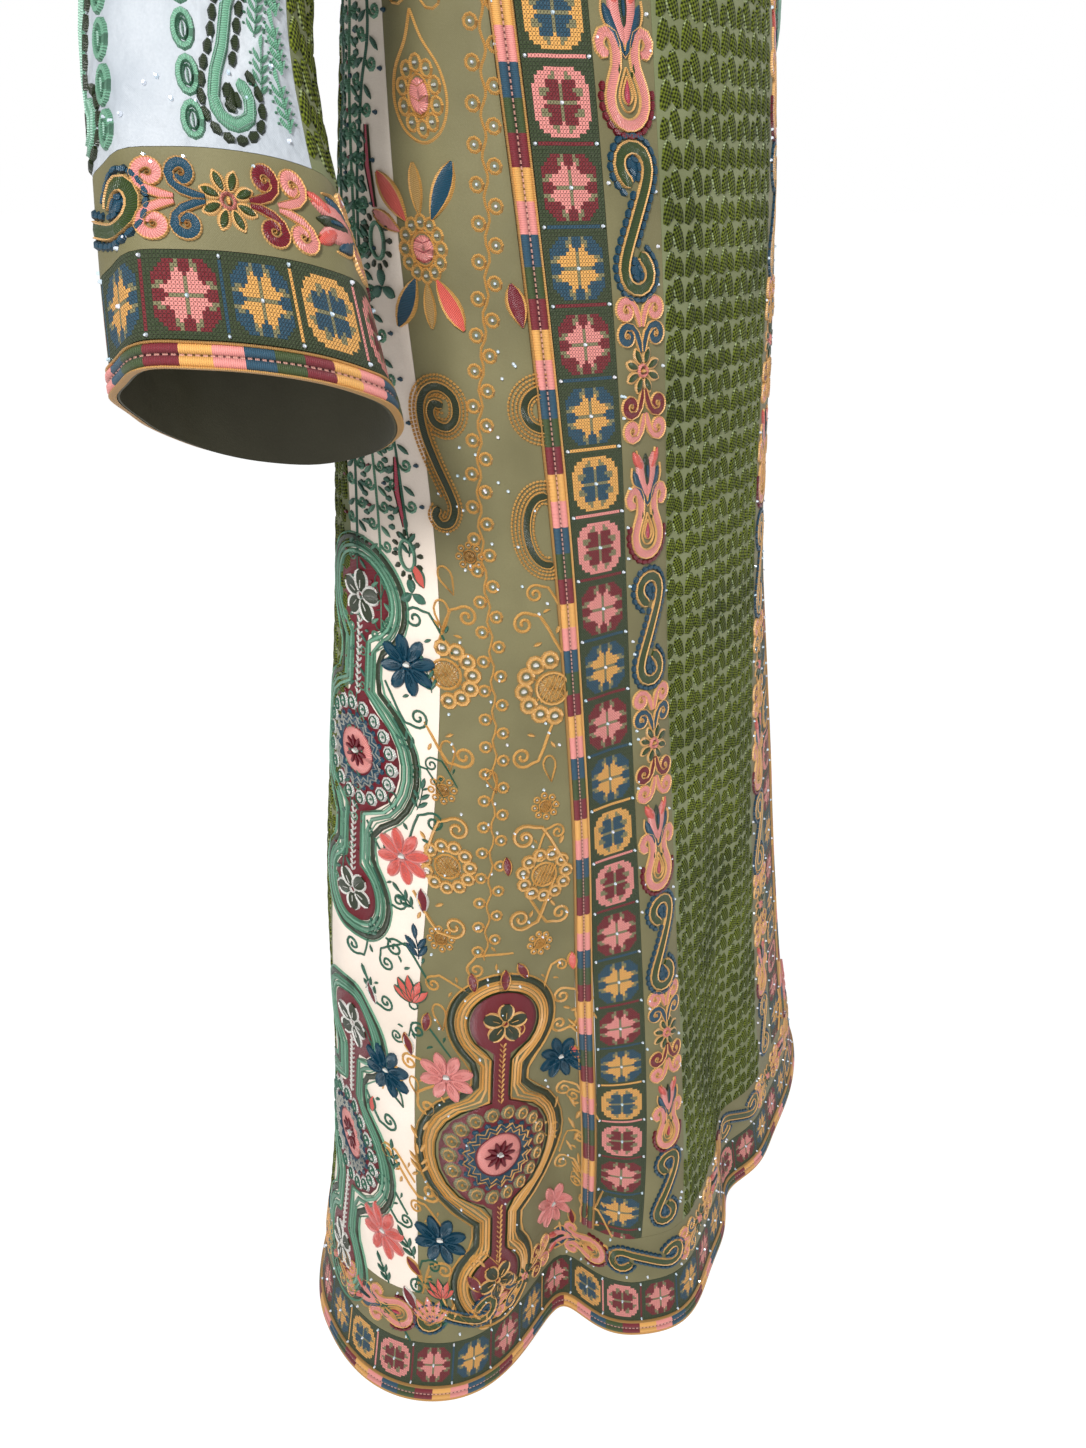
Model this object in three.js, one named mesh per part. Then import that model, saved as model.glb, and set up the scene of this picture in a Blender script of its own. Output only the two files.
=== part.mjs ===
// A floor-length thobe sewn from long embroidered strips, standing open as it does when it is worn.
// Every strip that is cut and sewn on is a thin wall of its own. Millimetres, +Z up. The front faces -Y,
// the wearer's right is -X, and the origin is on the shoulder line, where the wearer holds the garment up.
import * as THREE from "three";

// ---- Cloth ----
const CLOTH = 2; // embroidered cloth with its backing
const LINING = 1.2; // plain cuff lining
const SEAM_GAP = 0.3; // between two sewn pieces
const PIPING_RISE = 2.5; // how far the pieced piping stands proud of its neighbours

// ---- Heights, measured down from the shoulder line ----
const HEM = -1470;
const ARMPIT = -215;
const PAISLEY_BAND = 46; // sage strip with scrolls and paisleys
const CROSS_BAND = 46; // dark strip of cross-stitch stars
const PIPING = 16; // patchwork piping
const BORDER_SAGE = 50; // sage strip above the hem's cross-stitch band
const BORDER = BORDER_SAGE + CROSS_BAND + PIPING;
const BORDER_TOP = HEM + BORDER;
const SKIRT_LEVELS = [-1255, -1145, -1035, -925, -810, -690, -565, -435, -310, ARMPIT];
const YOKE_LEVELS = [-188, -156, -110, -66, -32, -12, 0];

// ---- Neck ----
const NECK_HALF_WIDTH = 66;
const NECK_FRONT_DROP = 85;
const NECK_BACK_DROP = 20;
const NECK_BINDING = 8; // width of the bound edge

// ---- Body: one row for each horizontal section ----
// halfWidth is to the side seam, front and back are depths from the body's axis, boxy is the superellipse
// exponent, and droop is how far the row falls from the neck to the shoulder tip.
const SHOULDER_HALF_WIDTH = 200;
const SECTIONS = [
  { level: 0, halfWidth: 200, front: 2, back: 2, boxy: 8, droop: 42 },
  { level: -12, halfWidth: 198, front: 34, back: 38, boxy: 5, droop: 38 },
  { level: -45, halfWidth: 192, front: 66, back: 72, boxy: 3.4, droop: 28 },
  { level: -110, halfWidth: 181, front: 98, back: 95, boxy: 2.6, droop: 12 },
  { level: -215, halfWidth: 168, front: 124, back: 106, boxy: 2.25, droop: 0 },
  { level: -300, halfWidth: 171, front: 132, back: 106, boxy: 2.25, droop: 0 },
  { level: -500, halfWidth: 200, front: 147, back: 118, boxy: 2.25, droop: 0 },
  { level: -750, halfWidth: 228, front: 153, back: 120, boxy: 2.25, droop: 0 },
  { level: -1000, halfWidth: 267, front: 175, back: 124, boxy: 2.25, droop: 0 },
  { level: -1250, halfWidth: 295, front: 210, back: 136, boxy: 2.25, droop: 0 },
  { level: -1470, halfWidth: 342, front: 246, back: 158, boxy: 2.25, droop: 0 },
];

// ---- Folds: each opens downward from a level to the hem ----
// at and wide are angles in degrees round the body, from the front centre toward the wearer's right.
// out is the depth at the hem, and negative folds are troughs.
const FOLDS = [
  { at: 49.5, out: -60, wide: 8.4, from: -900 },
  { at: 24, out: 26, wide: 11, from: -750 },
  { at: -11, out: -28, wide: 11, from: -800 },
  { at: -34, out: -17, wide: 16, from: -800 },
  { at: 73, out: 26, wide: 17, from: -950 },
  { at: 106, out: -24, wide: 14, from: -950 },
  { at: 130, out: 16, wide: 14, from: -900 },
  { at: 155, out: -20, wide: 13, from: -850 },
  { at: 180, out: 18, wide: 14, from: -850 },
  { at: -153, out: -20, wide: 14, from: -900 },
  { at: -124, out: 18, wide: 14, from: -900 },
  { at: -98, out: -16, wide: 12, from: -900 },
  { at: -68, out: 14, wide: 12, from: -900 },
];

// ---- Panels: widths round the body at each level ----
// centre is half the front centre panel, and twist is how far the front is pulled to the wearer's left.
const WIDTHS = [
  { level: 0, centre: NECK_HALF_WIDTH, twist: 0, sideFront: 60, side: 67 },
  { level: -215, centre: 76, twist: 4, sideFront: 62, side: 67 },
  { level: -300, centre: 80, twist: 7, sideFront: 69, side: 64 },
  { level: -500, centre: 78, twist: 14, sideFront: 82, side: 72 },
  { level: -750, centre: 75, twist: 29, sideFront: 88, side: 83 },
  { level: -1000, centre: 80, twist: 27, sideFront: 126, side: 104 },
  { level: -1250, centre: 100, twist: 18, sideFront: 172, side: 124 },
  { level: -1470, centre: 130, twist: 0, sideFront: 198, side: 148 },
];

// ---- Armholes: how far the cut comes in from the side line, front and back ----
const ARMHOLES = [
  { level: 0, front: 8, back: 8 },
  { level: -60, front: 32, back: 26 },
  { level: -110, front: 42, back: 38 },
  { level: -160, front: 34, back: 50 },
  { level: -215, front: 0, back: 67 },
];

// ---- Sleeves: one row for each ring along the arm ----
// length runs from the armhole along the sleeve, x to z are the ring's centre for the wearer's right arm,
// out and forward are the lean of the ring's plane in degrees, and across and deep are its two radii.
const SLEEVE_LENGTH = 509;
const RIGHT_SLEEVE = [
  { length: 0, x: -184, y: 6, z: -128, out: 80, forward: 0, across: 88, deep: 58 },
  { length: 36, x: -208, y: 5, z: -153, out: 74, forward: 0, across: 76, deep: 62 },
  { length: 88, x: -238, y: 0, z: -197, out: 64, forward: 3, across: 71, deep: 64 },
  { length: 162, x: -275, y: -10, z: -262, out: 50, forward: 6, across: 64, deep: 64 },
  { length: 240, x: -316, y: -27, z: -330, out: 36, forward: 11, across: 58, deep: 62 },
  { length: 314, x: -347, y: -47, z: -395, out: 21, forward: 15, across: 54, deep: 61 },
  { length: 381, x: -359, y: -63, z: -460, out: 18, forward: 18, across: 58, deep: 64 },
  { length: 443, x: -361, y: -74, z: -521, out: 20, forward: 20, across: 68, deep: 71 },
  { length: 509, x: -361, y: -81, z: -586, out: 23, forward: 21, across: 78, deep: 78 },
];
const LEFT_SLEEVE = [
  { length: 0, x: 184, y: 6, z: -128, out: 80, forward: 0, across: 88, deep: 58 },
  { length: 36, x: 204, y: 12, z: -158, out: 72, forward: 0, across: 76, deep: 62 },
  { length: 88, x: 228, y: 22, z: -203, out: 58, forward: -2, across: 71, deep: 64 },
  { length: 162, x: 252, y: 34, z: -272, out: 42, forward: -4, across: 63, deep: 64 },
  { length: 240, x: 272, y: 45, z: -347, out: 24, forward: -4, across: 57, deep: 62 },
  { length: 314, x: 284, y: 56, z: -419, out: 12, forward: -2, across: 54, deep: 61 },
  { length: 381, x: 292, y: 66, z: -484, out: 8, forward: 0, across: 58, deep: 64 },
  { length: 443, x: 297, y: 74, z: -545, out: 6, forward: 3, across: 68, deep: 71 },
  { length: 509, x: 301, y: 80, z: -610, out: 5, forward: 5, across: 78, deep: 78 },
];
// Toward the cuff the ring is less round: a soft corner at the front's outer side, and a flat front and back.
// share and wide are shares of the way round, and out is how far the cloth moves out in full.
const SLEEVE_FLATS = [
  { share: 0.045, wide: 0.04, out: 7 },
  { share: 0.18, wide: 0.1, out: -7 },
  { share: 0.8, wide: 0.13, out: -13 },
];
const FLATS_FROM = 230;
const FLATS_FULL = 430;
const CUFF_TOP = SLEEVE_LENGTH - BORDER;
const SLEEVE_ROWS = [0, 36, 88, 140, 195, 250, 305, 355, CUFF_TOP];
const CUFF_ROWS = [CUFF_TOP, CUFF_TOP + BORDER_SAGE, SLEEVE_LENGTH - PIPING, SLEEVE_LENGTH];
const ROOT_BLEND = 110; // the sleeve turns from the armhole's outline to round rings over this length

// ---- Materials ----
function cloth(color, roughness) {
  return new THREE.MeshStandardMaterial({ color, roughness, metalness: 0 });
}
const leafCloth = cloth(0x6f7d3c, 0.85);
const sageCloth = cloth(0x8e8c6b, 0.6);
const creamCloth = cloth(0xece6dc, 0.6);
const darkCloth = cloth(0x3a4a2b, 0.9);
const pipingCloth = cloth(0xd99a8c, 0.7);
const liningCloth = cloth(0x7d7c60, 0.7);

// ---- Interpolation ----

// A column of a table at a place along its first column, on a smooth curve through the rows.
function smooth(table, key, column, at) {
  const sign = Math.sign(table[1][key] - table[0][key]);
  let i = 0;
  while (i < table.length - 2 && (at - table[i + 1][key]) * sign > 0) i += 1;
  const slope = (j) => {
    const a = table[Math.max(j - 1, 0)];
    const b = table[Math.min(j + 1, table.length - 1)];
    return (b[column] - a[column]) / (b[key] - a[key]);
  };
  const from = table[i];
  const to = table[i + 1];
  const step = to[key] - from[key];
  const t = THREE.MathUtils.clamp((at - from[key]) / step, 0, 1);
  const ease = t * t * (3 - 2 * t);
  const straight = from[column] + (to[column] - from[column]) * ease;
  return straight + step * t * (1 - t) * ((1 - t) * slope(i) - t * slope(i + 1));
}

// ---- The body's form ----

// How far the folds move the cloth out at an angle round the body.
function foldOut(angle, level) {
  let out = 0;
  for (const fold of FOLDS) {
    const grown = THREE.MathUtils.smoothstep(fold.from - level, 0, fold.from - HEM);
    const off = THREE.MathUtils.euclideanModulo(angle - fold.at + 180, 360) - 180;
    out += fold.out * grown * Math.exp(-((off / fold.wide) ** 2));
  }
  return out;
}

// One level of the body as points with the arc length to each, from the front centre round the
// wearer's right side, the back and the wearer's left side.
const RING_STEPS = 360;
const rings = new Map();
function ring(level) {
  if (rings.has(level)) return rings.get(level);
  const row = {};
  for (const column of ["halfWidth", "front", "back", "boxy", "droop"])
    row[column] = smooth(SECTIONS, "level", column, level);
  const power = 2 / row.boxy;
  const points = [];
  const arc = [0];
  for (let i = 0; i <= RING_STEPS; i += 1) {
    const turn = (i / RING_STEPS) * 2 * Math.PI;
    const sine = Math.sin(turn);
    const cosine = Math.cos(turn);
    const depth = cosine > 0 ? row.front : row.back;
    let x = -row.halfWidth * Math.sign(sine) * Math.abs(sine) ** power;
    let y = -depth * Math.sign(cosine) * Math.abs(cosine) ** power;
    const radius = Math.hypot(x, y);
    const scale = 1 + foldOut(THREE.MathUtils.radToDeg(Math.atan2(-x, -y)), level) / radius;
    x *= scale;
    y *= scale;
    points.push(new THREE.Vector3(x, y, level - row.droop * (x / SHOULDER_HALF_WIDTH) ** 2));
    if (i > 0) arc.push(arc[i - 1] + Math.hypot(x - points[i - 1].x, y - points[i - 1].y));
  }
  const made = { points, arc, around: arc[RING_STEPS], side: arc[RING_STEPS / 4] };
  made.leftSide = made.around - arc[(RING_STEPS * 3) / 4];
  rings.set(level, made);
  return made;
}

// A point of the form, an arc length from the front centre: positive goes to the wearer's right.
function bodyAt(across, level) {
  const { points, arc, around } = ring(level);
  const place = THREE.MathUtils.euclideanModulo(across, around);
  let low = 0;
  let high = RING_STEPS;
  while (high - low > 1) {
    const middle = (low + high) >> 1;
    if (arc[middle] > place) high = middle;
    else low = middle;
  }
  return points[low].clone().lerp(points[high], (place - arc[low]) / (arc[high] - arc[low]));
}

// A point of the form moved out along its normal.
const PROBE = 2;
function bodySkin(across, level, lift) {
  const above = Math.min(level + PROBE, -PROBE / 4);
  const sideways = bodyAt(across + PROBE, level).sub(bodyAt(across - PROBE, level));
  const upward = bodyAt(across, above).sub(bodyAt(across, Math.min(level, -PROBE) - PROBE));
  const normal = upward.cross(sideways).normalize();
  return bodyAt(across, level).addScaledVector(normal, lift);
}

// ---- Seam lines ----

// The arc length of a seam from the front centre. side is 1 for the wearer's right and -1 for the left.
// seam counts outward: 0 centre panel, 1 paisley band, 2 cross-stitch band, 3 piping, 4 side front, 5 side.
function seamAt(side, seam, level) {
  const width = (column) => smooth(WIDTHS, "level", column, level);
  const strips = [PAISLEY_BAND, CROSS_BAND, PIPING, width("sideFront"), width("side")];
  const fromCentre = strips.slice(0, seam).reduce((sum, strip) => sum + strip, width("centre"));
  return side * fromCentre - width("twist");
}

// The armhole's edge, as an arc length from the front centre.
function armholeFront(side, level) {
  const { side: right, leftSide } = ring(level);
  const cut = smooth(ARMHOLES, "level", "front", level);
  return side * ((side > 0 ? right : leftSide) - cut);
}
function armholeBack(side, level) {
  const { side: right, leftSide } = ring(level);
  const cut = smooth(ARMHOLES, "level", "back", level);
  return side * ((side > 0 ? right : leftSide) + cut);
}

// The side front's outer edge: the side seam below the armpit and the armhole above it.
function sideFrontEdge(side, level) {
  return level > ARMPIT ? armholeFront(side, level) : seamAt(side, 4, level);
}
function sideEdge(side, level) {
  return level > ARMPIT ? armholeBack(side, level) : seamAt(side, 5, level);
}

// ---- Walls of cloth ----

// A closed wall from two grids of points, an outer and an inner one. Each grid is a list of rows.
// A wall that runs all the way round has no end faces.
function wall(outer, inner, isRound) {
  const rows = outer.length;
  const columns = outer[0].length;
  const points = [...outer.flat(), ...inner.flat()];
  const at = (layer, row, column) => layer * rows * columns + row * columns + (column % columns);
  const index = [];
  const quad = (a, b, c, d) => index.push(a, b, c, a, c, d);
  const spans = isRound ? columns : columns - 1;
  for (let row = 0; row < rows - 1; row += 1)
    for (let column = 0; column < spans; column += 1)
      for (const layer of [0, 1]) {
        const [a, b] = [at(layer, row, column), at(layer, row, column + 1)];
        const [c, d] = [at(layer, row + 1, column + 1), at(layer, row + 1, column)];
        if (layer === 0) quad(a, b, c, d);
        else quad(c, b, a, d);
      }
  for (let column = 0; column < spans; column += 1) {
    quad(at(1, 0, column), at(1, 0, column + 1), at(0, 0, column + 1), at(0, 0, column));
    const top = rows - 1;
    quad(at(0, top, column), at(0, top, column + 1), at(1, top, column + 1), at(1, top, column));
  }
  if (!isRound)
    for (let row = 0; row < rows - 1; row += 1) {
      quad(at(0, row, 0), at(0, row + 1, 0), at(1, row + 1, 0), at(1, row, 0));
      const end = columns - 1;
      quad(at(1, row, end), at(1, row + 1, end), at(0, row + 1, end), at(0, row, end));
    }
  return facingOut(points, index);
}

// A geometry whose faces point out, whichever way round its grids were listed.
function facingOut(points, index) {
  let volume = 0;
  for (let i = 0; i < index.length; i += 3) {
    const [a, b, c] = [points[index[i]], points[index[i + 1]], points[index[i + 2]]];
    volume += a.dot(b.clone().cross(c));
  }
  const geometry = new THREE.BufferGeometry().setFromPoints(points);
  geometry.setIndex(volume > 0 ? index : index.reverse());
  geometry.computeVertexNormals();
  return geometry;
}

const thobe = new THREE.Group();
function addPiece(name, geometry, material) {
  const mesh = new THREE.Mesh(geometry, material);
  mesh.name = name;
  thobe.add(mesh);
}

// ---- Panels of the body ----

// Shares from 0 to 1 in equal steps.
function evenly(columns) {
  return Array.from({ length: columns + 1 }, (_, column) => column / columns);
}

// How far a piece keeps back from the middle of a seam. Raised piping keeps back a little more.
function seamInset(rise) {
  return rise > 0 ? SEAM_GAP : SEAM_GAP / 2;
}

// Moves a grid's first and last columns in from the seams.
function insetEnds(grid, inset) {
  return grid.map((row) => {
    const end = row.length - 1;
    const toward = (from, to) => to.clone().sub(from).setLength(inset).add(from);
    return [toward(row[0], row[1]), ...row.slice(1, end), toward(row[end], row[end - 1])];
  });
}

// A panel between two seams, with its corners at shares of its width. topAt(u) is the level of its top
// edge, and rows above the armpit close up to fit under it.
function bodyPanel({ name, material, shares, from, to, levels, topAt = () => 0, rise = 0 }) {
  const last = levels.length - 1;
  const inset = seamInset(rise);
  const skin = (lift) =>
    levels.map((level, row) =>
      shares.map((u) => {
        const closed = level > ARMPIT ? 1 - topAt(u) / ARMPIT : 1;
        const fitted = ARMPIT + (level - ARMPIT) * closed;
        const ends = (row === 0 ? inset : 0) - (row === last ? inset : 0);
        return bodySkin(from(fitted) + (to(fitted) - from(fitted)) * u, fitted + ends, lift);
      }),
    );
  addPiece(name, wall(insetEnds(skin(rise), inset), insetEnds(skin(-CLOTH), inset), false), material);
}

// A panel from the border to the shoulder, in two lengths that are joined level with the armpits.
function longPanel(panel) {
  bodyPanel({ ...panel, levels: [BORDER_TOP, ...SKIRT_LEVELS], topAt: () => 0 });
  bodyPanel({ ...panel, name: "yoke_" + panel.name, levels: [ARMPIT, ...YOKE_LEVELS] });
}

const SIDES = [
  { word: "right", side: 1 },
  { word: "left", side: -1 },
];
const BAND_SHARES = evenly(2);
const PIPING_SHARES = evenly(1);
const CENTRE_SHARES = evenly(10);
const SIDE_FRONT_SHARES = evenly(7);
const SIDE_SHARES = evenly(6);

// The back's shares have a corner at each side of the neck.
const NECK_SHARE = NECK_HALF_WIDTH / (SHOULDER_HALF_WIDTH - ARMHOLES[0].back);
const BACK_NECK_STEPS = 3;
const BACK_SHOULDER_STEPS = 5;
const BACK_SHARES = [
  ...evenly(BACK_SHOULDER_STEPS).map((u) => ((1 - NECK_SHARE) / 2) * u),
  ...evenly(2 * BACK_NECK_STEPS)
    .slice(1, -1)
    .map((u) => 0.5 + NECK_SHARE * (u - 0.5)),
  ...evenly(BACK_SHOULDER_STEPS).map((u) => 0.5 + NECK_SHARE / 2 + ((1 - NECK_SHARE) / 2) * u),
];

// A strip between two seams of one side, listed from the lower arc length to the higher one.
function between(side, inner, outer) {
  return side > 0 ? { from: inner, to: outer } : { from: outer, to: inner };
}

// The level of the neck's edge across a panel, where the neck takes a share of the panel's width.
const NEARLY = 1 - 1e-6;
function neckEdge(u, share, drop) {
  const off = (2 * u - 1) / share / NEARLY;
  return Math.abs(off) < 1 ? -drop * Math.sqrt(1 - off ** 2) : 0;
}

longPanel({
  name: "front_centre",
  material: leafCloth,
  shares: CENTRE_SHARES,
  from: (level) => seamAt(-1, 0, level),
  to: (level) => seamAt(1, 0, level),
  topAt: (u) => neckEdge(u, 1, NECK_FRONT_DROP),
});

for (const { word, side } of SIDES) {
  const strips = [
    { name: "paisley_band", seam: 0, shares: BAND_SHARES, material: sageCloth, rise: 0 },
    { name: "cross_stitch_band", seam: 1, shares: BAND_SHARES, material: darkCloth, rise: 0 },
    { name: "front_piping", seam: 2, shares: PIPING_SHARES, material: pipingCloth, rise: PIPING_RISE },
  ];
  for (const { name, seam, shares, material, rise } of strips)
    longPanel({
      name: name + "_" + word,
      material,
      shares,
      rise,
      ...between(side, (level) => seamAt(side, seam, level), (level) => seamAt(side, seam + 1, level)),
    });
  longPanel({
    name: "side_front_" + word,
    material: sageCloth,
    shares: SIDE_FRONT_SHARES,
    ...between(side, (level) => seamAt(side, 3, level), (level) => sideFrontEdge(side, level)),
  });
  bodyPanel({
    name: "side_" + word,
    material: creamCloth,
    shares: SIDE_SHARES,
    levels: [BORDER_TOP, ...SKIRT_LEVELS],
    ...between(side, (level) => sideFrontEdge(side, level), (level) => sideEdge(side, level)),
  });
}

longPanel({
  name: "back",
  material: leafCloth,
  shares: BACK_SHARES,
  from: (level) => sideEdge(1, level),
  to: (level) => ring(level).around + sideEdge(-1, level),
  topAt: (u) => neckEdge(u, NECK_SHARE, NECK_BACK_DROP),
});

// ---- Border round the hem: three strips, each in four lengths ----
const HEM_CROSS_TOP = BORDER_TOP - BORDER_SAGE;
const HEM_PIPING_TOP = HEM + PIPING;
const BORDER_STRIPS = [
  { name: "hem_sage", levels: [HEM_CROSS_TOP, BORDER_TOP], material: sageCloth, rise: 0 },
  { name: "hem_cross_stitch", levels: [HEM_PIPING_TOP, HEM_CROSS_TOP], material: darkCloth, rise: 0 },
  { name: "hem_piping", levels: [HEM, HEM_PIPING_TOP], material: pipingCloth, rise: PIPING_RISE },
];
const rightPiping = (level) => seamAt(1, 3, level);
const rightSide = (level) => seamAt(1, 5, level);
const leftPiping = (level) => seamAt(-1, 3, level);
const leftSide = (level) => seamAt(-1, 5, level);
const BORDER_LENGTHS = [
  { word: "front", shares: evenly(17), from: leftPiping, to: rightPiping },
  { word: "right", shares: evenly(12), from: rightPiping, to: rightSide },
  { word: "back", shares: evenly(15), from: rightSide, to: (level) => ring(level).around + leftSide(level) },
  { word: "left", shares: evenly(12), from: leftSide, to: leftPiping },
];
for (const { name, levels, material, rise } of BORDER_STRIPS)
  for (const { word, shares, from, to } of BORDER_LENGTHS)
    bodyPanel({ name: name + "_" + word, material, shares, from, to, levels, rise });

// ---- Neck ----

// The neck's edge as places on the body, across the front to the wearer's right and back across the back.
function neckPlaces() {
  const front = CENTRE_SHARES.map((u) => {
    const level = neckEdge(u, 1, NECK_FRONT_DROP);
    const start = seamAt(-1, 0, level);
    return { across: start + (seamAt(1, 0, level) - start) * u, level };
  });
  const inNeck = BACK_SHARES.filter((u) => Math.abs(2 * u - 1) <= NECK_SHARE / NEARLY);
  const back = inNeck.map((u) => {
    const level = neckEdge(u, NECK_SHARE, NECK_BACK_DROP);
    const start = sideEdge(1, level);
    const end = ring(level).around + sideEdge(-1, level);
    return { across: start + (end - start) * u, level };
  });
  return [...front, ...back];
}

// The binding: a flat ring that carries the cloth on from the neck's edge toward the opening.
function neckBinding() {
  const places = neckPlaces();
  const edge = places.map(({ across, level }) => bodySkin(across, level, 0));
  const under = places.map(({ across, level }) => bodySkin(across, level, -CLOTH));
  const around = (list, i) => list[(i + list.length) % list.length];
  const centre = edge.reduce((sum, point) => sum.add(point), new THREE.Vector3()).divideScalar(edge.length);
  const inward = edge.map((point, i) => {
    const along = around(edge, i + 1).clone().sub(around(edge, i - 1));
    const toward = along.cross(under[i].clone().sub(point)).normalize();
    return toward.dot(centre.clone().sub(point)) < 0 ? toward.negate() : toward;
  });
  const moved = (list, distance) =>
    list.map((point, i) => point.clone().addScaledVector(inward[i], distance));
  const outer = [moved(edge, SEAM_GAP), moved(edge, NECK_BINDING)];
  const inner = [moved(under, SEAM_GAP), moved(under, NECK_BINDING)];
  return wall(outer, inner, true);
}
addPiece("neck_binding", neckBinding(), sageCloth);

// ---- Sleeves ----

// The armhole's edge as places on the body: down the front, under the arm and up the back. Its places are
// the panels' own corners, so that the seam fits. beyond is a place a little further out from the panel.
function armholePlaces(side) {
  const place = (across, level, acrossStep, levelStep) => ({
    across: across + acrossStep * SEAM_GAP,
    level: level + levelStep * SEAM_GAP,
    beyond: { across: across + acrossStep * PROBE, level: level + levelStep * PROBE },
  });
  const levels = [...YOKE_LEVELS].reverse();
  const front = levels.map((level) => place(armholeFront(side, level), level, side, 0));
  const start = sideFrontEdge(side, ARMPIT) + side * SEAM_GAP;
  const end = sideEdge(side, ARMPIT) - side * 2 * SEAM_GAP;
  const under = SIDE_SHARES.map((u) => place(start + (end - start) * u, ARMPIT, 0, 1));
  const back = levels.map((level) => place(armholeBack(side, level), level, -side, 0));
  return [...front, ...under, ...back.reverse()];
}

// Each armhole place with its share of the way round.
function armholeRing(side) {
  const places = armholePlaces(side);
  const points = places.map(({ across, level }) => bodySkin(across, level, 0));
  const lengths = points.map((point, i) => point.distanceTo(points[(i + 1) % points.length]));
  const around = lengths.reduce((sum, length) => sum + length, 0);
  let passed = 0;
  return places.map((place, i) => {
    const share = passed / around;
    passed += lengths[i];
    return { ...place, share };
  });
}

// How far the soft corner and the flats move the cloth out at a share of the way round.
function flatOut(share) {
  return SLEEVE_FLATS.reduce((sum, row) => {
    const away = THREE.MathUtils.euclideanModulo(share - row.share + 0.5, 1) - 0.5;
    return sum + row.out * Math.exp(-((away / row.wide) ** 2));
  }, 0);
}

// A point of the round sleeve. share runs from the top of the arm to the front, under it and up the back.
function tubeAt(table, side, share, length) {
  const value = (column) => smooth(table, "length", column, length);
  const out = THREE.MathUtils.degToRad(value("out"));
  const forward = THREE.MathUtils.degToRad(value("forward"));
  const under = new THREE.Vector3(
    side * Math.cos(out),
    -Math.sin(out) * Math.sin(forward),
    -Math.sin(out) * Math.cos(forward),
  );
  const behind = new THREE.Vector3(0, Math.cos(forward), -Math.sin(forward));
  const turn = share * 2 * Math.PI;
  const flat = flatOut(share) * THREE.MathUtils.smoothstep(length, FLATS_FROM, FLATS_FULL);
  return new THREE.Vector3(value("x"), value("y"), value("z"))
    .addScaledVector(under, -(value("across") + flat) * Math.cos(turn))
    .addScaledVector(behind, -(value("deep") + flat) * Math.sin(turn));
}

// A point of the sleeve, which leaves the armhole with its outline and turns round.
function sleeveAt(table, side, place, length) {
  const root = bodySkin(place.across, place.level, 0);
  const share = THREE.MathUtils.smoothstep(length, 0, ROOT_BLEND);
  return root.lerp(tubeAt(table, side, place.share, length), share);
}

// A point of the sleeve moved out along its normal. At the armhole it keeps clear of the body's cloth.
function sleeveSkin(table, side, places, i, length, lift) {
  const place = places[i];
  const next = places[(i + 1) % places.length];
  const previous = places[(i + places.length - 1) % places.length];
  const point = sleeveAt(table, side, place, length);
  const around = sleeveAt(table, side, next, length).sub(sleeveAt(table, side, previous, length));
  const along = sleeveAt(table, side, place, length + PROBE).sub(point);
  const move = along.cross(around).normalize().multiplyScalar(side * lift);
  const isRoot = length < PROBE;
  if (isRoot) {
    const { across, level } = place.beyond;
    const away = bodySkin(across, level, 0).sub(bodySkin(place.across, place.level, 0)).normalize();
    const back = Math.min(move.dot(away), 0);
    move.addScaledVector(away, -back).setLength(Math.abs(lift));
  }
  return point.add(move);
}

// A list of lengths along the sleeve, shortened at each end.
function trimmed(lengths, inset) {
  const last = lengths.length - 1;
  return lengths.map((length, i) => length + (i === 0 ? inset : 0) - (i === last ? inset : 0));
}

// The strip under the arm has these columns of the sleeve: from the front of the armhole to its back.
const UNDER_FROM = YOKE_LEVELS.length - 2;
const UNDER_TO = YOKE_LEVELS.length + SIDE_SHARES.length;

for (const { word, side } of SIDES) {
  const table = side > 0 ? RIGHT_SLEEVE : LEFT_SLEEVE;
  const places = armholeRing(side);
  const grid = (columns, lengths, lift, inset) =>
    trimmed(lengths, inset).map((length) =>
      columns.map((i) => sleeveSkin(table, side, places, i, length, lift)),
    );
  const all = places.map((_, i) => i);
  const under = all.slice(UNDER_FROM, UNDER_TO + 1);
  const over = [...all.slice(UNDER_TO), ...all.slice(0, UNDER_FROM + 1)];
  const sheet = (columns, lengths, outer, inner, isRound) => {
    const inset = seamInset(outer);
    const skins = [outer, inner].map((lift) => grid(columns, lengths, lift, inset));
    return wall(...skins.map((skin) => (isRound ? skin : insetEnds(skin, inset))), isRound);
  };
  addPiece("sleeve_" + word, sheet(over, SLEEVE_ROWS, 0, -CLOTH, false), creamCloth);
  addPiece("under_sleeve_" + word, sheet(under, SLEEVE_ROWS, 0, -CLOTH, false), leafCloth);

  const [top, sageEnd, pipingTop, end] = CUFF_ROWS;
  const cuff = [
    { name: "cuff_sage", from: top, to: sageEnd, material: sageCloth, rise: 0 },
    { name: "cuff_cross_stitch", from: sageEnd, to: pipingTop, material: darkCloth, rise: 0 },
    { name: "cuff_piping", from: pipingTop, to: end, material: pipingCloth, rise: PIPING_RISE },
  ];
  for (const { name, from, to, material, rise } of cuff)
    addPiece(name + "_" + word, sheet(all, [from, to], rise, -CLOTH, true), material);
  const liningOut = -CLOTH - SEAM_GAP;
  addPiece(
    "cuff_lining_" + word,
    sheet(all, CUFF_ROWS, liningOut, liningOut - LINING, true),
    liningCloth,
  );
}

export default thobe;
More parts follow.
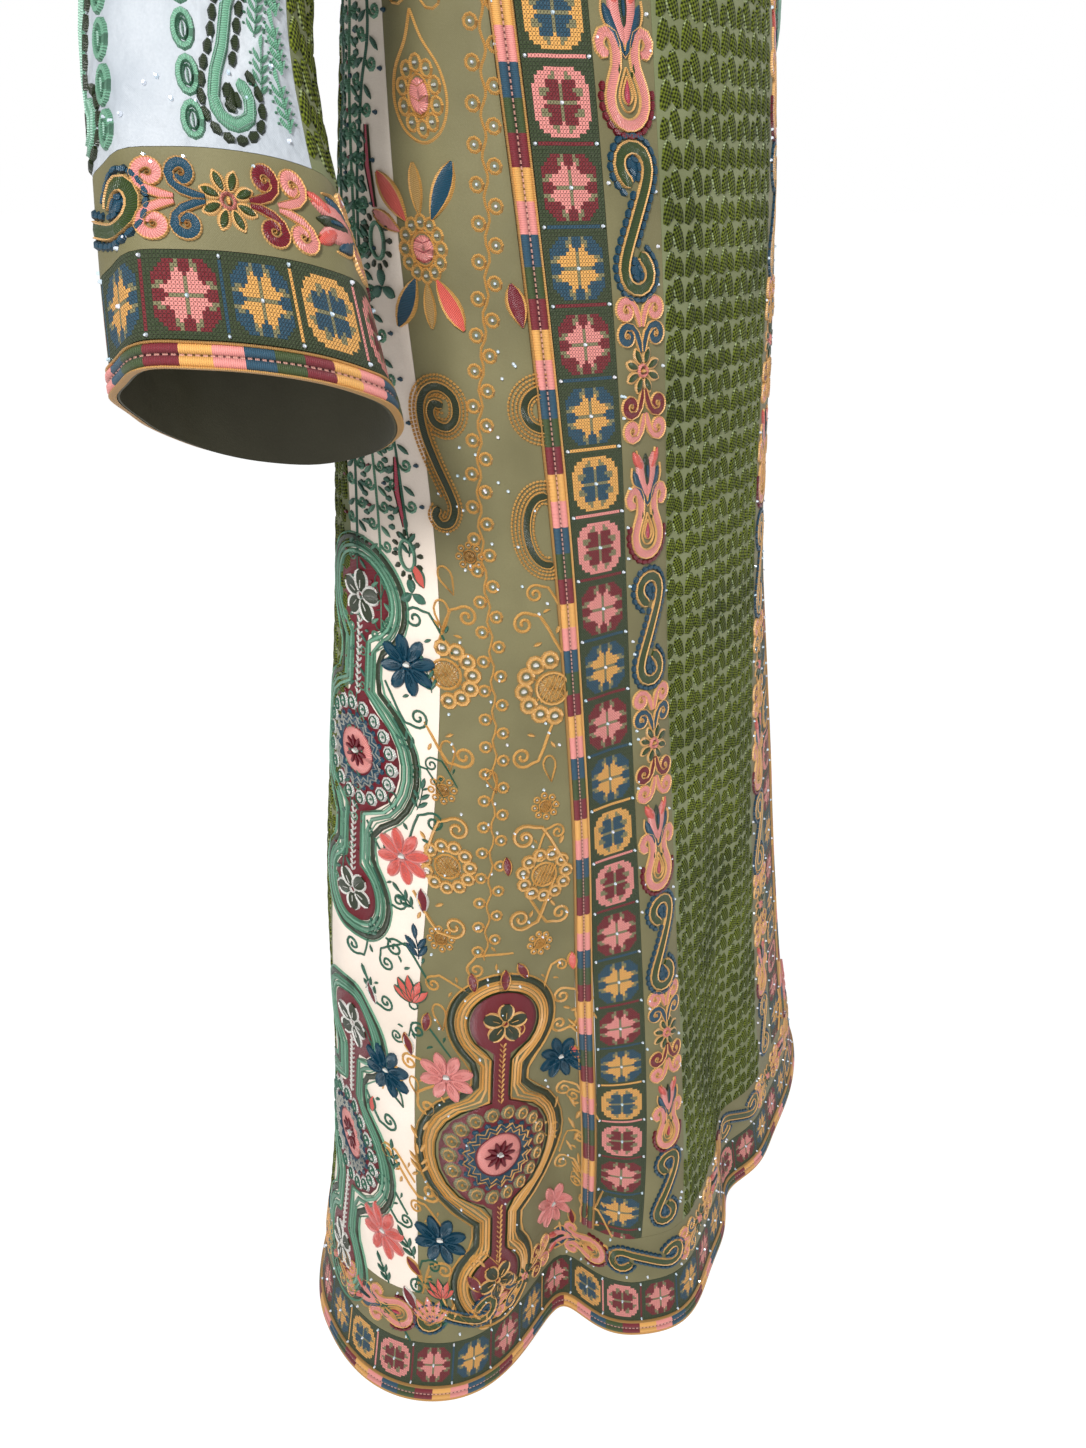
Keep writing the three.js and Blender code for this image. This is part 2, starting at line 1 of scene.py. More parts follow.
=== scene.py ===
# %% [markdown]
# # A floor-length embroidered thobe
# The garment is sewn from long strips: a middle panel covered with chain-stitched leaves, a narrow
# strip of paisleys, a dark strip of cross-stitch stars, a patchwork piping, a sage side front and a
# cream side, all closed at the foot by a border in three strips. It stands open as it does when worn.
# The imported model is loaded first, because every piece has to sit where its solid is.

# %% The frame
import math

import bpy
import numpy as np
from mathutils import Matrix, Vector


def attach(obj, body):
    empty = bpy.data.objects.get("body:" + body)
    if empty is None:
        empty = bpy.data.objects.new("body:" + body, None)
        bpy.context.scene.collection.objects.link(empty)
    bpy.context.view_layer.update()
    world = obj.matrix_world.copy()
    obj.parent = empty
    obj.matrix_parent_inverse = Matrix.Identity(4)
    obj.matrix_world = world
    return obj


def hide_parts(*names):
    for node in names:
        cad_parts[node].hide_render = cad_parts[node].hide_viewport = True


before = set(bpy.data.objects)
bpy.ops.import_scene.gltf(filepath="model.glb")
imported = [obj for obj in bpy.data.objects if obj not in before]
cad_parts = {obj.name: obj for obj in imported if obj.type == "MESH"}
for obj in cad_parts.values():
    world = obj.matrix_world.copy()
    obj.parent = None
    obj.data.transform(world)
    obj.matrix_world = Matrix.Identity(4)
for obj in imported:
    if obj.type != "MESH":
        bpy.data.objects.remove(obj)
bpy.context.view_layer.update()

rng = np.random.default_rng(20)

# %% [markdown]
# ## Camera
# The garment is seen from the wearer's front right and a little from above, from close by, so that the
# cuff is large and the hem is far away. A heading on the floor and a pitch give the direction.

# %% Camera
HEADING, PITCH = (0.764, 0.645), math.radians(27)
camera = bpy.data.objects.new("camera", bpy.data.cameras.new("camera"))
bpy.context.collection.objects.link(camera)
camera.location = (-0.732, -0.601, -0.46)
camera.rotation_mode = "QUATERNION"
gaze = Vector((HEADING[0] * math.cos(PITCH), HEADING[1] * math.cos(PITCH), -math.sin(PITCH)))
camera.rotation_quaternion = gaze.to_track_quat("-Z", "Y")
camera.data.lens, camera.data.sensor_width, camera.data.clip_start = 27.05, 36, 0.02
bpy.context.scene.camera = camera
print("camera at", tuple(round(x, 3) for x in camera.location))

# %% [markdown]
# ## The form of the worn cloth
# Cloth that hangs from shoulders is one tube, so it is described level by level: each level is a
# rounded ring, and a short table gives its half width and its depths. Sizes are in millimetres here and
# become metres when a mesh is made. The curve between two rows of a table is an eased line with the
# rows' slopes added, so nothing kinks.

# %% Tables and a smooth curve through them
HEM, ARMPIT = -1470.0, -215.0
CLOTH, LINING, SEAM_GAP = 2.0, 1.2, 0.3
PAISLEY_BAND, CROSS_BAND, PIPING, BORDER_SAGE = 46.0, 46.0, 16.0, 50.0
BORDER_TOP = HEM + BORDER_SAGE + CROSS_BAND + PIPING


def table(columns, text):
    """Named columns from a text whose rows are parted by commas."""
    return dict(zip(columns.split(), np.array([row.split() for row in text.split(",")], float).T))


def ease(t):
    """0 below 0, 1 above 1, and 3t² - 2t³ between."""
    t = np.clip(t, 0, 1)
    return t * t * (3 - 2 * t)


def smooth(rows, column, at):
    """A column at a place: an eased line between two rows, plus each row's slope, faded by t(1 - t)."""
    keys, values = next(iter(rows.values())), rows[column]
    sign = np.sign(keys[1] - keys[0])
    i = np.clip(np.searchsorted(keys * sign, np.asarray(at, float) * sign) - 1, 0, len(keys) - 2)
    last = len(keys) - 1
    before, after = np.maximum(np.arange(-1, last), 0), np.minimum(np.arange(1, last + 2), last)
    slopes = (values[after] - values[before]) / (keys[after] - keys[before])
    step = keys[i + 1] - keys[i]
    t = np.clip((at - keys[i]) / step, 0, 1)
    line = values[i] + (values[i + 1] - values[i]) * ease(t)
    return line + step * t * (1 - t) * ((1 - t) * slopes[i] - t * slopes[i + 1])


SECTIONS = table("level halfWidth front back boxy droop", """
    0 200 2 2 8 42, -12 198 34 38 5 38, -45 192 66 72 3.4 28, -110 181 98 95 2.6 12, -215 168 124 106 2.25 0,
    -300 171 132 106 2.25 0, -500 200 147 118 2.25 0, -750 228 153 120 2.25 0, -1000 267 175 124 2.25 0,
    -1250 295 210 136 2.25 0, -1470 342 246 158 2.25 0""")
# Folds that open toward the hem: the angle round the body, depth at the hem, width in degrees, top.
FOLDS = [
    (49.5, -60, 8.4, -900), (24, 26, 11, -750), (-11, -28, 11, -800), (-34, -17, 16, -800),
    (73, 26, 17, -950), (106, -24, 14, -950), (130, 16, 14, -900), (155, -20, 13, -850),
    (180, 18, 14, -850), (-153, -20, 14, -900), (-124, 18, 14, -900), (-98, -16, 12, -900),
    (-68, 14, 12, -900),
]

# %% [markdown]
# Creases are smaller than folds. Each is a soft trough or ridge laid along a line on the cloth:
# where it starts and ends, how wide it is and how deep, none like its neighbour. They lie where cloth is
# pushed by an arm or pulled by its own weight: under the arms, at the waist, and between the folds.

# %% Creases of the body
# angle and level at the top, angle and level at the foot, sideways bow, half width and depth in mm.
CREASES = table("angle0 level0 angle1 level1 bow wide deep", """
    62 -300 47 -560 5 9 -2.6, 70 -330 58 -640 -4 12 2.4, 52 -360 38 -520 3 7 -1.6, 78 -420 66 -760 4 14 -3.4,
    40 -470 34 -820 -3 13 1.8, 57 -600 52 -930 2 11 -2.2, 66 -700 70 -1120 -3 15 2.6, 31 -640 37 -980 2 12 -2.0,
    44 -860 40 -1240 2 13 2.0, 84 -900 90 -1330 2 16 -3.2, 62 -1010 60 -1440 -2 14 -2.4,
    16 -560 10 -1010 3 15 -2.2, 3 -700 5 -1180 -3 17 2.4, -6 -420 -14 -800 2 14 -2.0,
    -22 -760 -24 -1240 2 16 2.6, -2 -1080 -3 -1450 1 13 -2.6, 12 -1130 14 -1455 -1 12 2.0,
    33 -1190 34 -1458 1 11 2.2, -50 -310 -40 -590 -4 10 -2.8, -64 -340 -56 -700 3 13 2.6,
    -78 -460 -70 -860 -3 15 -3.2, -46 -720 -48 -1160 2 14 -2.2, -84 -940 -86 -1380 2 15 2.6,
    -58 -1040 -56 -1440 -2 13 -2.6, 100 -330 112 -650 4 14 -3.0, 118 -260 132 -560 -4 12 2.2,
    140 -420 146 -900 3 16 -2.8, 166 -240 160 -640 -3 15 2.0, 178 -560 172 -1080 3 18 -2.8,
    -100 -350 -114 -700 -3 13 -2.8, -122 -280 -136 -620 4 13 2.4, -146 -500 -142 -1010 -3 17 -2.6,
    -168 -330 -172 -820 2 15 2.2, 116 -900 118 -1400 -2 15 2.8, 143 -980 142 -1440 2 14 2.4,
    168 -1060 167 -1450 -1 13 -2.2, -112 -940 -111 -1420 2 14 -2.6, -138 -1000 -139 -1440 -2 15 2.6,
    -164 -1080 -166 -1450 2 13 -2.4, 30 -130 20 -330 -5 11 1.6, -30 -120 -22 -330 5 12 1.8,
    8 -150 0 -380 4 14 -1.6""")


def relief(creases, place, along, turn, scale):
    """The sum over creases of depth × a bell across the line × a half sine along it. A whole turn is so
    many units of place, and scale is a unit's length in millimetres."""
    out = np.zeros(np.shape(along))
    for p0, l0, p1, l1, bow, wide, deep in zip(*creases.values()):
        t = (along - l0) / (l1 - l0)
        near = (t > 0) & (t < 1)
        t = t[near]
        off = (place[near] - p0 - (p1 - p0) * t - bow * np.sin(math.pi * t) + turn / 2) % turn - turn / 2
        off = off * scale[near] / wide
        out[near] += deep * np.exp(-off * off) * np.sin(math.pi * t) ** 0.8
    return out

# %% The body as a table of rings
def fold_out(angle, level):
    """The sum over folds of depth × growth × a bell, where growth eases from the fold's top to the hem."""
    out = 0
    for at, deep, wide, top in FOLDS:
        off = (angle - at + 180) % 360 - 180
        out = out + deep * ease((top - level) / (top - HEM)) * np.exp(-((off / wide) ** 2))
    return out


LEVELS = np.concatenate([np.arange(HEM, -220, 5.0), np.arange(ARMPIT, -12, 3.0), np.arange(-12, 0.1, 0.5)])
TURNS = np.linspace(0, 2 * math.pi, 1441)
COLUMNS = 1200


def body_rings():
    """Superellipse rings: x = -halfWidth·sin^(2/boxy), y = -depth·cos^(2/boxy), scaled out by the folds,
    drooping toward the shoulder tips, and then stepped evenly along each ring's length."""
    row = {name: smooth(SECTIONS, name, LEVELS)[:, None] for name in SECTIONS if name != "level"}
    sine, cosine = np.sin(TURNS)[None], np.cos(TURNS)[None]
    depth = np.where(cosine > 0, row["front"], row["back"])
    x = -row["halfWidth"] * np.sign(sine) * np.abs(sine) ** (2 / row["boxy"])
    y = -depth * np.sign(cosine) * np.abs(cosine) ** (2 / row["boxy"])
    radius = np.hypot(x, y)
    scale = 1 + fold_out(np.degrees(np.arctan2(-x, -y)), LEVELS[:, None]) / radius
    x, y = x * scale, y * scale
    z = LEVELS[:, None] - row["droop"] * (x / 200) ** 2
    arc = np.concatenate([np.zeros((len(LEVELS), 1)), np.cumsum(np.hypot(np.diff(x), np.diff(y)), 1)], 1)
    even = np.linspace(0, 1, COLUMNS + 1)
    points = np.stack(
        [np.stack([np.interp(even * a[-1], a, c) for a, c in zip(arc, grid)]) for grid in (x, y, z)], -1
    )
    quarter = len(TURNS) // 4
    return points, arc[:, -1], arc[:, quarter], arc[:, -1] - arc[:, 3 * quarter]


RINGS, AROUND, RIGHT_SIDE, LEFT_SIDE = body_rings()


def around(level):
    """The length of the ring at a level."""
    return np.interp(level, LEVELS, AROUND)

# %% Points of the form
def blend(grid, row, column):
    """A grid's points at fractional rows and columns: the four nearest, weighed by nearness."""
    row = np.clip(row, 0, len(grid) - 1.001)
    i, j = row.astype(int), np.minimum(column.astype(int), grid.shape[1] - 2)
    f, g = (row - i)[..., None], (column - j)[..., None]
    low, high = (grid[k, j] * (1 - g) + grid[k, j + 1] * g for k in (i, i + 1))
    return low * (1 - f) + high * f


def form(across, level):
    """A point of the form: across is the length along the ring from the front centre, positive toward
    the wearer's right."""
    row = np.interp(level, LEVELS, np.arange(len(LEVELS)))
    return blend(RINGS, row, (across / around(level)) % 1 * COLUMNS)


def unit(v):
    return v / np.maximum(np.linalg.norm(v, axis=-1, keepdims=True), 1e-9)

# %% Points of the cloth
PROBE = 2.0  # how far to each side the form is read for its normal


def skin(across, level, lift=0.0):
    """The form moved out along its normal by a lift and by the creases."""
    across, level, lift = np.broadcast_arrays(*(np.asarray(v, float) for v in (across, level, lift)))
    point = form(across, level)
    upward = form(across, np.minimum(level + PROBE, -PROBE / 4)) - form(across, np.minimum(level, -PROBE) - PROBE)
    sideways = form(across + PROBE, level) - form(across - PROBE, level)
    angle = np.degrees(np.arctan2(-point[..., 0], -point[..., 1]))
    a_degree = np.radians(np.hypot(point[..., 0], point[..., 1]))
    creased = lift + relief(CREASES, angle, level, 360, a_degree)
    return point + unit(np.cross(upward, sideways)) * creased[..., None]


print("rings:", RINGS.shape, "hem round:", round(AROUND[0]), "chest round:", round(float(around(ARMPIT))))

# %% [markdown]
# Near the shoulder the cloth turns over, so a small drop in level is a long way on the cloth. A pattern
# has to follow the cloth, so patterns use a height measured along it. Below the chest it is the level.

# %% Height along the cloth
CHEST = -300.0
run_levels = np.concatenate([np.arange(CHEST, -12, 2.0), np.arange(-12, 0.01, 0.25)])
run_points = form(np.full(run_levels.shape, 110.0), run_levels)  # up the middle of a shoulder
run_heights = CHEST + np.concatenate([[0], np.cumsum(np.linalg.norm(np.diff(run_points, axis=0), axis=1))])
TOP = run_heights[-1]


def level_of(height):
    """The level at a height along the cloth."""
    height = np.asarray(height, float)
    return np.where(height < CHEST, height, np.interp(height, run_heights, run_levels))


def height_of(level):
    """The height along the cloth at a level."""
    level = np.asarray(level, float)
    return np.where(level < CHEST, level, np.interp(level, run_levels, run_heights))


print("height of the shoulder line along the cloth:", round(TOP))

# %% [markdown]
# ## Seam lines
# The strips' widths at each level say where the seams run. All the front strips are pulled a little to
# the wearer's left below the waist, which is what a standing wearer does to a long dress.

# %% Seams and armholes
NECK_HALF_WIDTH, NECK_FRONT_DROP, NECK_BACK_DROP, NECK_BINDING = 66.0, 85.0, 20.0, 8.0
WIDTHS = table("level centre twist sideFront side", """
    0 66 0 60 67, -215 76 4 62 67, -300 80 7 69 64, -500 78 14 82 72, -750 75 29 88 83, -1000 80 27 126 104,
    -1250 100 18 172 124, -1470 130 0 198 148""")
ARMHOLES = table("level front back", """
    0 8 8, -60 32 26, -110 42 38, -160 34 50, -215 0 67""")


def seam_at(side, seam, level):
    """The place across of a strip's outer seam: 0 centre panel, 1 paisley strip, 2 cross-stitch strip,
    3 piping, 4 side front, 5 side. side is 1 for the wearer's right and -1 for the left."""
    out = smooth(WIDTHS, "centre", level) + sum((PAISLEY_BAND, CROSS_BAND, PIPING)[:seam])
    for name in ("sideFront", "side")[: max(seam - 3, 0)]:
        out = out + smooth(WIDTHS, name, level)
    return side * out - smooth(WIDTHS, "twist", level)


def armhole(side, part, level):
    """The armhole's edge: the side line, less the front cut or plus the back cut."""
    line = np.interp(level, LEVELS, RIGHT_SIDE if side > 0 else LEFT_SIDE)
    cut = smooth(ARMHOLES, part, level)
    return side * (line - cut if part == "front" else line + cut)


def edge_at(side, seam, level):
    """A seam again, but above the armpit seams 4 and 5 are the front and back edges of the armhole."""
    line = seam_at(side, seam, level)
    if seam < 4:
        return line
    return np.where(level > ARMPIT, armhole(side, "front" if seam == 4 else "back", level), line)


def neck_edge(u, share, drop):
    """Half an ellipse: the level of the neck's edge, where the neck takes a share of the width."""
    off = (2 * u - 1) / share
    return -drop * np.sqrt(np.clip(1 - off * off, 0, 1))

# %% [markdown]
# ## From arrays to meshes
# Every strip, cord and stitch here is a loft: one closed outline carried along rows. The rows are one
# big array of points, the faces come from index arithmetic, and foreach_set copies both into a mesh.
# A loft that goes right round has no ends; the others get a face at each end.

# %% Mesh building
THREADS = {
    "ground": (0.16, 0.23, 0.10), "burgundy": (0.45, 0.02, 0.11), "pink": (0.91, 0.57, 0.54),
    "coral": (0.88, 0.38, 0.33), "blue": (0.05, 0.27, 0.36), "petrol": (0.03, 0.26, 0.34),
    "yellow": (0.90, 0.66, 0.34), "gold": (0.88, 0.66, 0.36), "green": (0.19, 0.27, 0.07),
    "olive": (0.14, 0.19, 0.06), "sage": (0.50, 0.48, 0.34), "mint": (0.46, 0.68, 0.56),
    "deepmint": (0.38, 0.58, 0.47), "fern": (0.22, 0.42, 0.34), "ice": (0.66, 0.82, 0.74),
    "white": (0.94, 0.93, 0.90), "rose": (0.76, 0.25, 0.34),
    "leaf": (0.28, 0.32, 0.07), "paleyellow": (0.93, 0.72, 0.45), "grey": (0.74, 0.74, 0.70),
    "ochre": (0.70, 0.56, 0.33), "rim": (0.56, 0.60, 0.48), "rosy": (0.93, 0.60, 0.58),
}


def linear(colour):
    """Display values to scene-linear ones."""
    c = np.asarray(colour, float)
    return np.where(c <= 0.04045, c / 12.92, ((c + 0.055) / 1.055) ** 2.4)


THREADS = {name: linear(colour) for name, colour in THREADS.items()}
made = {}

# %% One mesh from arrays
def make_piece(name, points, faces, look, slot, uv=None, colour=None, replaces=(), sharp=55):
    """points (n, 3) in millimetres. faces is a list of index arrays with one face a row. uv is a list
    of arrays shaped like faces with two numbers for each corner, and colour a list with one a face."""
    mesh = bpy.data.meshes.new(name)
    corners = np.concatenate([f.ravel() for f in faces])
    sizes = np.concatenate([np.full(len(f), f.shape[1]) for f in faces])
    mesh.vertices.add(len(points))
    mesh.vertices.foreach_set("co", (points * 0.001).astype(np.float32).ravel())
    mesh.loops.add(len(corners))
    mesh.loops.foreach_set("vertex_index", corners.astype(np.int32))
    mesh.polygons.add(len(sizes))
    mesh.polygons.foreach_set("loop_start", (np.cumsum(sizes) - sizes).astype(np.int32))
    mesh.update(calc_edges=True)
    if uv is not None:
        layer = mesh.uv_layers.new(name="cloth")
        layer.data.foreach_set("uv", np.concatenate([u.reshape(-1, 2) for u in uv]).astype(np.float32).ravel())
    if colour is not None:
        paint = mesh.color_attributes.new("thread", "FLOAT_COLOR", "CORNER")
        rgba = np.ones((len(corners), 4), np.float32)
        rgba[:, :3] = np.repeat(np.concatenate(colour), sizes, axis=0)
        paint.data.foreach_set("color", rgba.ravel())
    mesh.shade_smooth()
    mesh.set_sharp_from_angle(angle=math.radians(sharp))
    mesh.materials.append(look)
    thing = bpy.data.objects.new(name, mesh)
    bpy.context.collection.objects.link(thing)
    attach(thing, "root")
    if replaces:
        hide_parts(*replaces)
    made[name] = int((sizes - 2).sum())
    print(f"{name}: {made[name]} triangles")
    return thing

# %% Lofts
def loft(outline, closed):
    """Faces of rows × k points whose rows are closed outlines: quads between rows, and an n-gon at each
    end unless the rows close too. outline is an array of point numbers, rows × k."""
    rows = np.concatenate([outline, outline[:1]]) if closed else outline
    ring = np.concatenate([rows, rows[:, :1]], 1)
    quads = np.stack([ring[:-1, :-1], ring[1:, :-1], ring[1:, 1:], ring[:-1, 1:]], -1).reshape(-1, 4)
    return [quads] if closed else [quads, outline[:1], outline[-1:, ::-1]]


def facing_out(points, faces):
    """Whether the closed shape's volume, a sum over triangles fanned from each corner, is positive."""
    volume = 0.0
    for f in faces:
        a = points[f[:, 0]]
        for i in range(1, f.shape[1] - 1):
            volume += np.einsum("ij,ij->i", a, np.cross(points[f[:, i]], points[f[:, i + 1]])).sum()
    return volume > 0

# %% Walls of cloth
sheets = []
stones = []  # groups of crystals: a surface, and places on it with their radii


def cloth_piece(name, outer, inner, place, look, slot, replaces, round_=False, colour=None, scale=0.001):
    """A closed wall of cloth. outer is rows × n points, inner rows × m points, and place gives each
    outer point's place on the flat cloth, for the weave. The sheet's flat size is measured on it."""
    (rows, n), m = outer.shape[:2], inner.shape[1]
    points = np.concatenate([outer, inner[:, ::-1]], 1).reshape(-1, 3)
    outline = np.arange(rows * (n + m)).reshape(rows, n + m)
    faces = loft(outline, round_)
    # Flat places for every corner: the inner side repeats the outer side's, stretched to its columns.
    back = place[:, np.linspace(n - 1, 0, m).round().astype(int)]
    flat = np.concatenate([place, back], 1)
    if round_:
        flat = np.concatenate([flat, flat[:1] + (flat[-1:] - flat[-2:-1]) + (flat[-1:] - flat[:1])])
    flat = np.concatenate([flat, flat[:, :1]], 1) * scale
    uv = [np.stack([flat[:-1, :-1], flat[1:, :-1], flat[1:, 1:], flat[:-1, 1:]], 2).reshape(-1, 4, 2)]
    if not round_:
        uv += [flat[:1, :-1], flat[-1:, :-1][:, ::-1]]
    paint = None
    if colour is not None:
        spans = rows if round_ else rows - 1
        behind = np.broadcast_to(THREADS["ground"], (spans, m - 1, 3))
        full = np.concatenate([colour[:spans], colour[:spans, -1:], behind, colour[:spans, :1]], 1)
        paint = [full.reshape(-1, 3)] + ([] if round_ else [colour[:1, 0], colour[-1:, 0]])
    if not facing_out(points, faces):
        faces, uv = [f[:, ::-1] for f in faces], [u[:, ::-1] for u in uv]
    piece = make_piece(name + "_cloth", points, faces, look, slot, uv, paint, replaces)
    ring = np.concatenate([outer, outer[:1]]) if round_ else outer
    along, across = np.diff(ring, axis=0), np.diff(ring, axis=1)
    area = np.linalg.norm(np.cross(along[:, :-1], across[:-1]), axis=-1).sum() * 1e-6
    length = np.linalg.norm(along, axis=-1).sum(0).max() * 0.001
    width = max(np.linalg.norm(across, axis=-1).sum(1).max() * 0.001, 0.01)
    # A sheet's flat size is its outer face measured along its rows and columns.
    sheets.append((name, round(width, 3), round(length, 3), round(area, 4)))

# %% [markdown]
# ## Shader maths as Python
# A material is a graph of nodes. Wrapping a socket in a small class lets the graph be written as sums:
# every operator adds one Math node. Everything else comes from one method, which takes the node's
# type, its settings, and the values or links of its inputs.

# %% One class for sockets
class Socket:
    def __init__(self, tree, output):
        self.tree, self.output = tree, output

    def math(self, operation, *values):
        return node(self.tree, "ShaderNodeMath", {"operation": operation}, dict(enumerate(values)))

    def __add__(self, other): return self.math("ADD", self, other)
    def __radd__(self, other): return self.math("ADD", other, self)
    def __sub__(self, other): return self.math("SUBTRACT", self, other)
    def __rsub__(self, other): return self.math("SUBTRACT", other, self)
    def __mul__(self, other): return self.math("MULTIPLY", self, other)
    def __rmul__(self, other): return self.math("MULTIPLY", other, self)
    def __lt__(self, other): return self.math("LESS_THAN", self, other)
    def __abs__(self): return self.math("ABSOLUTE", self)
    def sine(self): return self.math("SINE", self)
    def part(self): return self.math("FRACT", self)
    def most(self, other): return self.math("MAXIMUM", self, other)
    def least(self, other): return self.math("MINIMUM", self, other)

# %% Adding nodes
def feed(tree, socket, value):
    """Links a wrapped output to an input, or sets the input's constant."""
    if isinstance(value, Socket):
        tree.links.new(value.output, socket)
    else:
        socket.default_value = (*value[:3], 1) if socket.type == "RGBA" else value


def node(tree, kind, settings=None, values=None, output=0):
    """Adds a node: its settings first, then its inputs by number or name. Returns one wrapped output."""
    new = tree.nodes.new(kind)
    for key, value in (settings or {}).items():
        setattr(new, key, value)
    for key, value in (values or {}).items():
        feed(tree, new.inputs[key], value)
    return Socket(tree, new.outputs[output])

# %% A material under way
class Finish:
    """A material under way: its tree, the flat place of the cloth, and what the shader takes."""

    def __init__(self, name, **fixed):
        self.material = bpy.data.materials.new(name)
        self.material.use_nodes = True
        self.tree = self.material.node_tree
        self.shader = self.tree.nodes["Principled BSDF"]
        for key, value in fixed.items():
            self.shader.inputs[key.replace("_", " ")].default_value = value

    def node(self, kind, settings=None, values=None, output=0):
        return node(self.tree, kind, settings, values, output)

    def place(self):
        """The two flat coordinates of the cloth's own map."""
        uv = self.node("ShaderNodeUVMap", {"uv_map": "cloth"})
        return uv, *[self.node("ShaderNodeSeparateXYZ", None, {0: uv}, i) for i in range(2)]

    def paint(self):
        """The colour of the thread, which the mesh holds at its corners."""
        return self.node("ShaderNodeVertexColor", {"layer_name": "thread"})

    def solid(self):
        """The place in the object, for what runs on from one piece of a pattern to the next."""
        return self.node("ShaderNodeTexCoord", output=3)

    def noise(self, vector, scale, detail=2.0, rough=0.5):
        values = {"Vector": vector, "Scale": scale, "Detail": detail, "Roughness": rough}
        return self.node("ShaderNodeTexNoise", None, values)

    def mix(self, share, a, b):
        return self.node("ShaderNodeMix", {"data_type": "RGBA"}, {0: share, 6: a, 7: b}, 2)

    def finish(self, colour, rough, height, distance, strength=1.0):
        """Links colour, roughness and a bump of the height, whose full step is distance metres."""
        bump = self.node("ShaderNodeBump", None, {"Strength": strength, "Distance": distance, "Height": height})
        for name, value in (("Base Color", colour), ("Roughness", rough), ("Normal", bump)):
            feed(self.tree, self.shader.inputs[name], value)
        return self.material

# %% [markdown]
# ## Finishes
# Each cloth has its own grain at its own size. Crepe is a fine irregular pebble with a slow change of
# tone; satin thread shows as close parallel lines across the stroke; cross-stitch is a grid of small
# crosses; chain stitch is rows of dots. The flat coordinates are metres, so a sine's factor is 2π over
# the pitch.

# %% Plain cloths
def pitch(metres):
    return 2 * math.pi / metres


def crepe(name, colour, deep, rough=0.62, grain=900.0, puff=1.2):
    """Crepe: fine pebble, weave and soft puckers in the bump, and a slow drift of tone in the colour."""
    f = Finish(name, Sheen_Weight=0.05, Sheen_Roughness=0.4, Specular_IOR_Level=0.3)
    uv, u, v = f.place()
    slow, fine = f.noise(uv, 14.0, 3.0), f.noise(uv, grain, 2.0, 0.6)
    weave = (u * pitch(0.0011)).sine() * (v * pitch(0.0011)).sine()
    tone = f.mix(slow * 1.4 - 0.2, linear(deep), linear(colour))
    tone = f.mix(fine * 0.55, tone, linear(deep))
    puckers = f.noise(uv, 75.0, 2.0, 0.5) * puff
    return f.finish(tone, fine * 0.16 + (rough - 0.08), fine * 0.5 + weave * 0.12 + puckers, 0.0005, 0.7)


sage_crepe = crepe("sage_crepe", (0.51, 0.485, 0.345), (0.37, 0.35, 0.235))
cream_satin = crepe("cream_satin", (0.96, 0.91, 0.86), (0.84, 0.78, 0.72), rough=0.5, grain=700.0)
# Painted shade: the sleeves' cream cloth is made greyer and bluer than the sides', to tone down the strong light on
# the arm, and its deep tone is the cloth's shaded colour.
shaded_sleeve_satin = crepe("shaded_sleeve_satin", (0.82, 0.83, 0.84), (0.58, 0.61, 0.64), rough=0.5, grain=700.0, puff=8.0)
leaf_ground = crepe("leaf_ground", (0.54, 0.56, 0.42), (0.38, 0.40, 0.26), rough=0.75)
olive_lining = crepe("olive_lining", (0.30, 0.29, 0.21), (0.20, 0.19, 0.13), rough=0.6)

# %% Thread
def thread_look():
    """Satin thread: close lines across each stroke in the bump and a little in the tone."""
    f = Finish("satin_thread", Sheen_Weight=0.03, Sheen_Roughness=0.3, Specular_IOR_Level=0.5)
    uv, u, v = f.place()
    paint = f.paint()
    ragged = f.noise(uv, 700.0, 1.0)
    line = ((u + v * 0.35) * pitch(0.0011) + ragged * 2.0).sine()
    shade = f.mix(0.24 - line * 0.24, paint, (0.0, 0.0, 0.0))
    return f.finish(shade, 0.36 + line * 0.06, line * 0.5 + ragged * 0.3, 0.0004, 0.8)

# %% Chain stitch
def leaf_look():
    """Chain stitch: rows of loops along the leaf. Each loop is a light ring round a middle painted dark as shade."""
    f = Finish("leaf_chain_stitch", Sheen_Weight=0.02, Sheen_Roughness=0.5, Specular_IOR_Level=0.15)
    uv, u, v = f.place()
    place = f.solid()
    rim = f.paint()
    bend = f.noise(place, 70.0, 1.0) * 5.0
    row = ((u * 0.8 + v * 0.35) * pitch(0.0031) + bend).sine()
    loop = ((v * 0.8 - u * 0.35) * pitch(0.0027) + bend * 1.4).sine()
    lift = row * loop * 0.5 + row * 0.08 + 0.5
    slow = f.noise(place, 12.0, 2.0)
    tone = f.mix(slow * 0.8 - 0.2, rim, linear((0.62, 0.67, 0.20)))
    # Painted shade: the colour darkens toward black where the loops lie low.
    tone = f.mix(1.27 - lift * 1.5, tone, linear((0.05, 0.08, 0.01)))
    return f.finish(tone, 0.8 - lift * 0.12, lift, 0.0009, 0.9)

# %% Cross-stitch
def cross_look():
    """Cross-stitch: each cell has two crossed stitches, so the height is high near either diagonal."""
    f = Finish("cross_stitch", Sheen_Weight=0.02, Sheen_Roughness=0.4, Specular_IOR_Level=0.2)
    uv, u, v = f.place()
    paint = f.paint()
    x, y = u.part() - 0.5, v.part() - 0.5
    slant = (1 - abs(x - y) * 2.6).most(1 - abs(x + y) * 2.6).most(0.0)
    edge = 1 - abs(x).most(abs(y)) * 2
    height = slant * 0.7 + edge.least(0.3)
    # Painted shade: the colour darkens toward black where the stitches lie low, in the gaps between them.
    tone = f.mix(0.91 - height * 1.15, paint, (0.0, 0.0, 0.0))
    tone = f.mix(f.noise(uv, 1.3, 2.0) * 0.10, tone, (0.55, 0.5, 0.42))
    return f.finish(tone, 0.7 - height * 0.15, height, 0.0007, 0.9)

